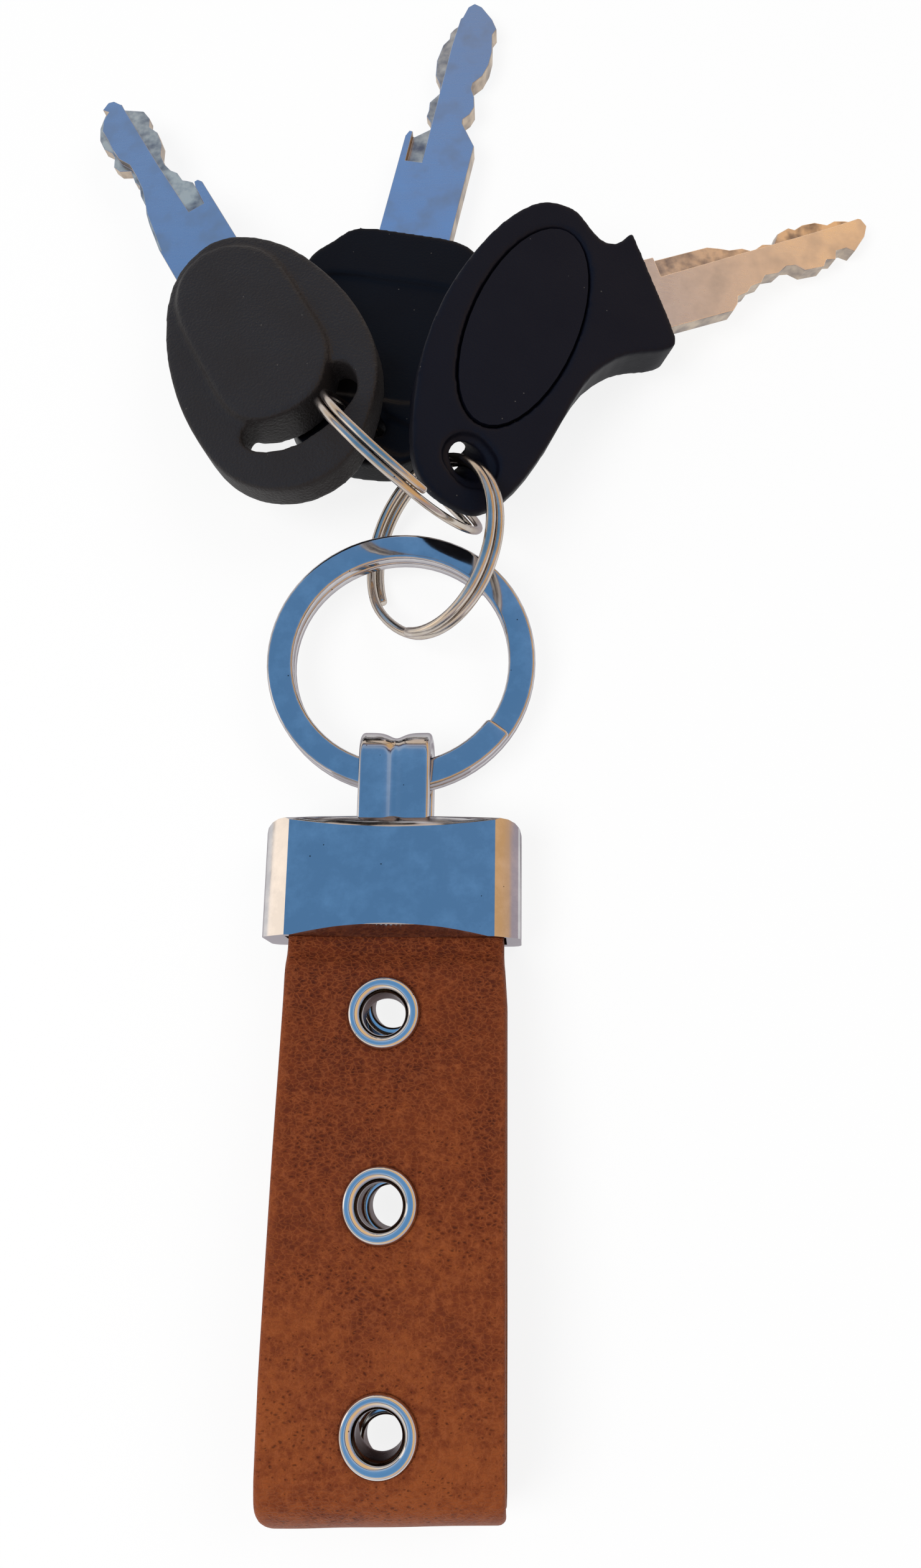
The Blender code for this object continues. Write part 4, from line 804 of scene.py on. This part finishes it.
def take_away(shape, tool, operation="DIFFERENCE"):
    """Cut the second bmesh out of the first, or join it on, and free it."""
    solid, cutter = add_object("scratch", shape), add_object("scratch", tool)
    tool.free()
    cut = solid.modifiers.new("cut", "BOOLEAN")
    cut.operation = operation
    cut.solver = "EXACT"
    cut.object = cutter
    take_result(shape, solid, cutter)


def cut_round(shape, place, depth, low, high, segments=48, operation="DIFFERENCE"):
    """Cut a rod or cone, depth long, out of the shape, or join it on. low and high are its radii."""
    tool = bmesh.new()
    bmesh.ops.create_cone(tool, cap_ends=True, segments=segments, radius1=low, radius2=high, depth=depth,
                          matrix=place)
    take_away(shape, tool, operation)


def take_result(shape, obj, *others):
    """Put what the object's modifiers make back into the bmesh, and drop the scratch objects."""
    bpy.context.view_layer.update()
    result = bpy.data.meshes.new_from_object(obj.evaluated_get(bpy.context.evaluated_depsgraph_get()))
    shape.clear()
    shape.from_mesh(result)
    bpy.data.meshes.remove(result)
    for old in (obj, *others):
        mesh = old.data
        bpy.data.objects.remove(old, do_unlink=True)
        bpy.data.meshes.remove(mesh)


def face_plane(shape):
    """Normal and height of the largest flat face that looks up."""
    widest = max((face for face in shape.faces if face.normal.z > 0.5), key=lambda face: face.calc_area())
    return widest.normal.copy(), widest.normal.dot(widest.calc_center_median())


def mark_cuts(shape, least):
    """Give flat faces lower than the top face the second material, and the edges the third."""
    normal, top = face_plane(shape)
    for face in shape.faces:
        level = face.normal.dot(normal)
        if level > 0.95 and face.normal.dot(face.calc_center_median()) < top - least:
            face.material_index = 1
        elif abs(level) < 0.5:
            face.material_index = 2


def bored_along(shape, normal, top, hole):
    """Fill the CAD's roomy hole, and bore it again along the wire that it carries."""
    middle = hole["wire"] + hole["aside"]
    level = middle - normal * (normal.dot(middle) - top + hole["depth"] / 2 + 0.002 * MM)
    turn = normal.to_track_quat("Z", "Y").to_matrix().to_4x4()
    long, wide, heading = hole["plug"]
    lie = (Matrix.Translation(level) @ turn @ Matrix.Rotation(math.radians(heading), 4, "Z")
           @ Matrix.Diagonal((long, wide, 1, 1)))
    cut_round(shape, lie, hole["depth"], 1, 1, operation="UNION")
    along = hole["run"].to_track_quat("Z", "Y").to_matrix().to_4x4()
    cut_round(shape, Matrix.Translation(hole["wire"]) @ along, BORE_LENGTH, hole["radius"], hole["radius"])


def moulded(node, voxel, passes, hole=None):
    """A key head as its mould leaves it: the CAD solid with every edge run out smooth."""
    shape = welded(node)
    normal, top = face_plane(shape)
    if hole:
        bored_along(shape, normal, top, hole)
    obj = add_object("scratch", shape)
    remesh = obj.modifiers.new("even", "REMESH")
    remesh.mode = "VOXEL"
    remesh.voxel_size = voxel
    take_result(shape, obj)
    for _ in range(passes):
        bmesh.ops.smooth_vert(shape, verts=shape.verts, factor=0.5, use_axis_x=True, use_axis_y=True,
                              use_axis_z=True)
    panel = shape.verts.layers.float.new("panel")
    for vert in shape.verts:
        sunk = (top - normal.dot(vert.co)) / PANEL_DEPTH
        vert[panel] = max(0.0, 1 - 4 * abs(sunk - 1))
    return shape


def level_faces(obj):
    """Let a rounded edge shade smoothly into flat faces that stay flat."""
    even = obj.modifiers.new("level", "WEIGHTED_NORMAL")
    even.keep_sharp = True
    even.weight = 100


def bail_frames():
    """Frames round the bail's loop: X across the object, Y out of the loop."""
    low = CLAMP_LENGTH / 2 + BAIL_WALL / 2 - BAIL_SUNK
    high = CLAMP_LENGTH / 2 + FIT + BAIL_HEIGHT - BAIL_WALL / 2
    front = BAIL_CENTRE_Z + (BAIL_DEPTH - BAIL_WALL) / 2
    back = BAIL_CENTRE_Z - (BAIL_DEPTH - BAIL_WALL) / 2
    frames = []
    for y, z, radius, start in ((high, front, BAIL_CORNER, 0), (low, front, BAIL_FOOT, 90),
                                (low, back, BAIL_FOOT, 180), (high, back, BAIL_CORNER, 270)):
        centre = Vector((0, y - math.copysign(radius, y - (low + high) / 2),
                         z - math.copysign(radius, z - BAIL_CENTRE_Z)))
        for i in range(BAIL_STEPS + 1):
            a = math.radians(start + 90 * i / BAIL_STEPS)
            out = Vector((0, math.cos(a), math.sin(a)))
            frames.append(frame_at(centre + out * radius, ACROSS, out, ACROSS.cross(out)))
    return frames + frames[:1]


class KEYFOB_OT_clamp(bpy.types.Operator):
    """Make the clamp and the bail, and finish the screws"""

    bl_idname = "keyfob.clamp"
    bl_label = "Clamp and bail"

    def execute(self, context):
        cap = welded("clamp_cap")
        tool = bmesh.new()
        bmesh.ops.create_cube(tool, size=CLAMP_TOOL,
                              matrix=Matrix.Translation((0, CLAMP_MOUTH - CLAMP_TOOL / 2, 0)))
        take_away(cap, tool)
        for deepest, radius, slope, depth in CLAMP_CUTS:
            run = depth / math.tan(math.radians(slope))
            place = Matrix.Translation((0, deepest + math.copysign(radius, deepest), CLAMP_THICK))
            cut_round(cap, place, 2 * depth, radius - run, radius + run, 720)
        bmesh.ops.dissolve_limit(cap, angle_limit=math.radians(0.3), verts=cap.verts, edges=cap.edges)
        soften(cap, CLAMP_FRONT_EDGE, 4, 33, CLAMP_THICK / 2)
        soften(cap, CLAMP_EDGE, 2, 30)
        level_faces(finish_piece("clamp_casting", cap, "fob", "casting", ["clamp_cap"], 50))
        shape = bmesh.new()
        rounded_bar(shape, BAIL_WIDTH, BAIL_WALL, BAIL_EDGE, 5)
        flat = [edge for edge in shape.edges if edge.calc_length() > BAIL_WIDTH / 2]
        bmesh.ops.subdivide_edges(shape, edges=flat, cuts=24)
        for vert in shape.verts:
            # two lobes across the outside, with a valley between them
            if vert.co.y > 0:
                vert.co.y -= BAIL_VALLEY * math.exp(-(vert.co.x / BAIL_VALLEY_RUN) ** 2)
        drawn(shape, bail_frames(), True)
        top = max(vert.co.y for vert in shape.verts)
        for vert in shape.verts:
            near = limited(1 - (top - vert.co.y) / BAIL_WALL)
            vert.co.y -= BAIL_TOP_VALLEY * near * math.exp(-(vert.co.x / BAIL_TOP_RUN) ** 2)
        finish_piece("bail_casting", shape, "fob", "casting", ["bail"], 50)
        for number in (1, 2):
            finish_node(f"clamp_screw_{number}", "screw")
        return {"FINISHED"}


class KEYFOB_OT_rings(bpy.types.Operator):
    """Make the flat split ring and the two wire split rings"""

    bl_idname = "keyfob.rings"
    bl_label = "Split rings"

    def execute(self, context):
        settings = context.scene.keyfob_rings
        low, high = (Vector(corner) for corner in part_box("split_ring_large"))
        turn = (RING_STACK - TURN_SPLIT) / 2
        shape = bmesh.new()
        rounded_bar(shape, RING_BAND, turn, RING_EDGE, 5)
        # the CAD winds it the other way round, so that the top turn's end points to the right
        path = [Matrix.Diagonal((1, -1, 1, 1)) @ place for place in
                winding(RING_MIDDLE, RING_START, RING_CROSSING, 1, turn + TURN_SPLIT, settings.parts)]
        centre = Matrix.Translation((low + high) / 2)
        drawn(shape, blunted([centre @ place for place in path], RING_EDGE), False)
        finish_piece("flat_split_ring", shape, "large_ring", "ring", ["split_ring_large"])
        tilt = math.radians(RING_A_TILT)
        lie_a = Matrix.Translation(RING_A_CENTRE) @ Matrix.Rotation(-tilt, 4, "Y")
        heading, lean = math.radians(RING_B_HEADING), math.radians(RING_B_LEAN)
        run = Vector((math.cos(heading), math.sin(heading), 0))
        side = Vector((math.sin(heading), -math.cos(heading), 0))
        rise = side * math.sin(lean) + Vector((0, 0, math.cos(lean)))
        lie_b = frame_at(RING_B_CENTRE, run, rise, run.cross(rise))
        for letter, wire, lie in (("a", settings.wire_a, lie_a), ("b", settings.wire_b, lie_b)):
            shape = bmesh.new()
            bmesh.ops.create_circle(shape, cap_ends=True, segments=14, radius=wire / 2)
            path = winding(*WIRE_TURNS[letter], wire + WIRE_SPLIT, settings.parts)
            drawn(shape, blunted([lie @ place for place in path], WIRE_END), False)
            finish_piece(f"wire_split_ring_{letter}", shape, f"small_ring_{letter}", "wire",
                         [f"split_ring_{letter}"], 50)
        return {"FINISHED"}


class KEYFOB_OT_keys(bpy.types.Operator):
    """Finish the three keys"""

    bl_idname = "keyfob.keys"
    bl_label = "Keys"

    def execute(self, context):
        for side, passes in HEAD_PASSES.items():
            head = moulded(f"key_{side}_head", HEAD_VOXEL, passes, HEAD_HOLES.get(side))
            finish_piece(f"moulded_head_{side}", head, "key_" + side, side + "_head",
                         [f"key_{side}_head"], 180)
            blade = welded(f"key_{side}_blade")
            soften(blade, BLADE_EDGE, 2, 30)
            mark_cuts(blade, LEAST_CUT)
            metals = (side + "_blade", "milled_floor", "cut_edge")
            level_faces(finish_piece(f"milled_blade_{side}", blade, "key_" + side, metals,
                                     [f"key_{side}_blade"], 50))
        finish_node("key_right_inlay", "right_head")
        return {"FINISHED"}


def area_lamp(name, place, size, power, code, mirrored):
    """A round lamp that shines on the object."""
    data = bpy.data.lights.new(name, "AREA")
    data.shape = "DISK"
    data.size = size
    data.energy = power
    data.color = linear(code)[:3]
    lamp = add_object(name, data)
    lamp.location = place
    lamp.visible_glossy = mirrored
    lamp.rotation_euler = (Vector(LAMP_AIM) - Vector(place)).to_track_quat("-Z", "Y").to_euler()


def make_world():
    """Even white light for colour; polished metal mirrors a pale sky over a warm horizon."""
    world = bpy.data.worlds.new("studio")
    world.use_nodes = True
    tree = world.node_tree
    way = add_node(tree, "TexCoord").outputs["Generated"]
    axes = add_node(tree, "SeparateXYZ", (way,)).outputs
    # the warm part stands higher on the right, where the sun is low, and toward the strap's fold
    nearer = add_node(tree, "Math", (axes["Y"], 0.0), operation="MINIMUM")
    leant = add_node(tree, "Math", (nearer, 0.35, axes["Z"]), operation="MULTIPLY_ADD")
    height = add_node(tree, "Math", (axes["X"], -0.25, leant), operation="MULTIPLY_ADD")
    cool = add_node(tree, "ValToRGB", (height,), (
        (0.0, "D8D0D4"), (0.1, "F4EAE0"), (0.4, "F2E4D2"), (0.46, "4A3C44"), (0.5, "5A5A78"),
        (0.57, "B0C8E6"), (0.68, "A2BFE0"), (0.8, "6FA0D2"), (1.0, "6599CC")))
    warm = add_node(tree, "ValToRGB", (height,), (
        (0.0, "C4B8C0"), (0.1, "F6C48A"), (0.5, "F0C890"), (0.58, "E0CCC8"), (0.62, "3C2E34"),
        (0.66, "4A4A6A"), (0.71, "B4CCE8"), (0.84, "74A2D4"), (1.0, "6599CC")))
    side = add_node(tree, "MapRange", (axes["X"], -0.25, 0.35))
    sky = add_node(tree, "Mix", {"Factor": side, "A": cool, "B": warm}, data_type="RGBA")
    rays = add_node(tree, "LightPath").outputs
    even = add_node(tree, "Mix", {"Factor": rays["Is Camera Ray"], "B": (1, 1, 1, 1),
                                  "A": (EVEN_LIGHT, EVEN_LIGHT, EVEN_LIGHT, 1)}, data_type="RGBA")
    mirrored = add_node(tree, "Math", (rays["Is Glossy Ray"], rays["Is Transmission Ray"]),
                        operation="MAXIMUM")
    colour = add_node(tree, "Mix", {"Factor": mirrored, "A": even, "B": sky}, data_type="RGBA")
    fill(tree.nodes["Background"], {"Color": colour})
    bpy.context.scene.world = world


def white_floor():
    """White paper lit from behind, so that the object's shadow on it stays faint."""
    material, tree, shader = new_material("backlit_white_paper")
    fill(shader, {"Base Color": linear("FAFAFA"), "Roughness": 0.9})
    rays = add_node(tree, "LightPath").outputs
    seen = add_node(tree, "Math", (rays["Is Camera Ray"], rays["Is Glossy Ray"]), operation="MAXIMUM")
    through = add_node(tree, "Math", (seen, rays["Is Transmission Ray"]), operation="MAXIMUM")
    share = add_node(tree, "Math", (through, FLOOR_GLOW), operation="MULTIPLY")
    glow = add_node(tree, "Emission", {"Color": (1, 1, 1, 1)})
    fill(tree.nodes["Material Output"], {"Surface": add_node(tree, "MixShader", (share, shader, glow))})
    return material


class KEYFOB_OT_stage(bpy.types.Operator):
    """Make the floor, the lamps and the camera"""

    bl_idname = "keyfob.stage"
    bl_label = "Stage"

    def execute(self, context):
        scene = context.scene
        shape = bmesh.new()
        bmesh.ops.create_grid(shape, x_segments=1, y_segments=1, size=FLOOR_SIZE)
        floor = add_object("floor", shape)
        shape.free()
        floor.location.z = -FLOOR_GAP
        floor.data.materials.append(white_floor())
        make_world()
        for name, lamp in LAMPS.items():
            area_lamp(name, *lamp)
        data = bpy.data.cameras.new("camera")
        data.sensor_width = SENSOR
        data.lens = SENSOR * CAMERA_FOCAL / PICTURE_HEIGHT
        data.clip_start = 0.005
        back = -CAMERA_AHEAD.normalized()
        right = Vector((0, 1, 0)).cross(back).normalized()
        scene.camera = add_object("camera", data)
        scene.camera.matrix_world = (frame_at(CAMERA_PLACE, right, back.cross(right), back)
                                     @ Matrix.Rotation(math.radians(CAMERA_ROLL), 4, "Z"))
        scene.view_settings.view_transform = "Standard"
        return {"FINISHED"}


class KEYFOB_PT_panel(bpy.types.Panel):
    bl_label = "Key fob"
    bl_idname = "KEYFOB_PT_panel"
    bl_space_type = "VIEW_3D"
    bl_region_type = "UI"
    bl_category = "Key fob"

    def draw(self, context):
        for name, group in GROUPS.items():
            for setting in group.__annotations__:
                self.layout.prop(getattr(context.scene, name), setting)
        for operator in STEPS:
            self.layout.operator(operator.bl_idname)


GROUPS = {"keyfob_strap": StrapSettings, "keyfob_rings": RingSettings, "keyfob_looks": LookSettings}
STEPS = (KEYFOB_OT_strap, KEYFOB_OT_eyelets, KEYFOB_OT_clamp, KEYFOB_OT_rings, KEYFOB_OT_keys,
         KEYFOB_OT_stage)
CLASSES = (*GROUPS.values(), *STEPS, KEYFOB_PT_panel)


def register():
    for item in CLASSES:
        bpy.utils.register_class(item)
    for name, group in GROUPS.items():
        setattr(bpy.types.Scene, name, PointerProperty(type=group))


def unregister():
    for name in GROUPS:
        delattr(bpy.types.Scene, name)
    for item in reversed(CLASSES):
        bpy.utils.unregister_class(item)


def main():
    register()
    make_materials()
    bpy.ops.keyfob.strap()
    bpy.ops.keyfob.eyelets()
    bpy.ops.keyfob.clamp()
    bpy.ops.keyfob.rings()
    bpy.ops.keyfob.keys()
    bpy.ops.keyfob.stage()


if __name__ == "__main__":
    main()
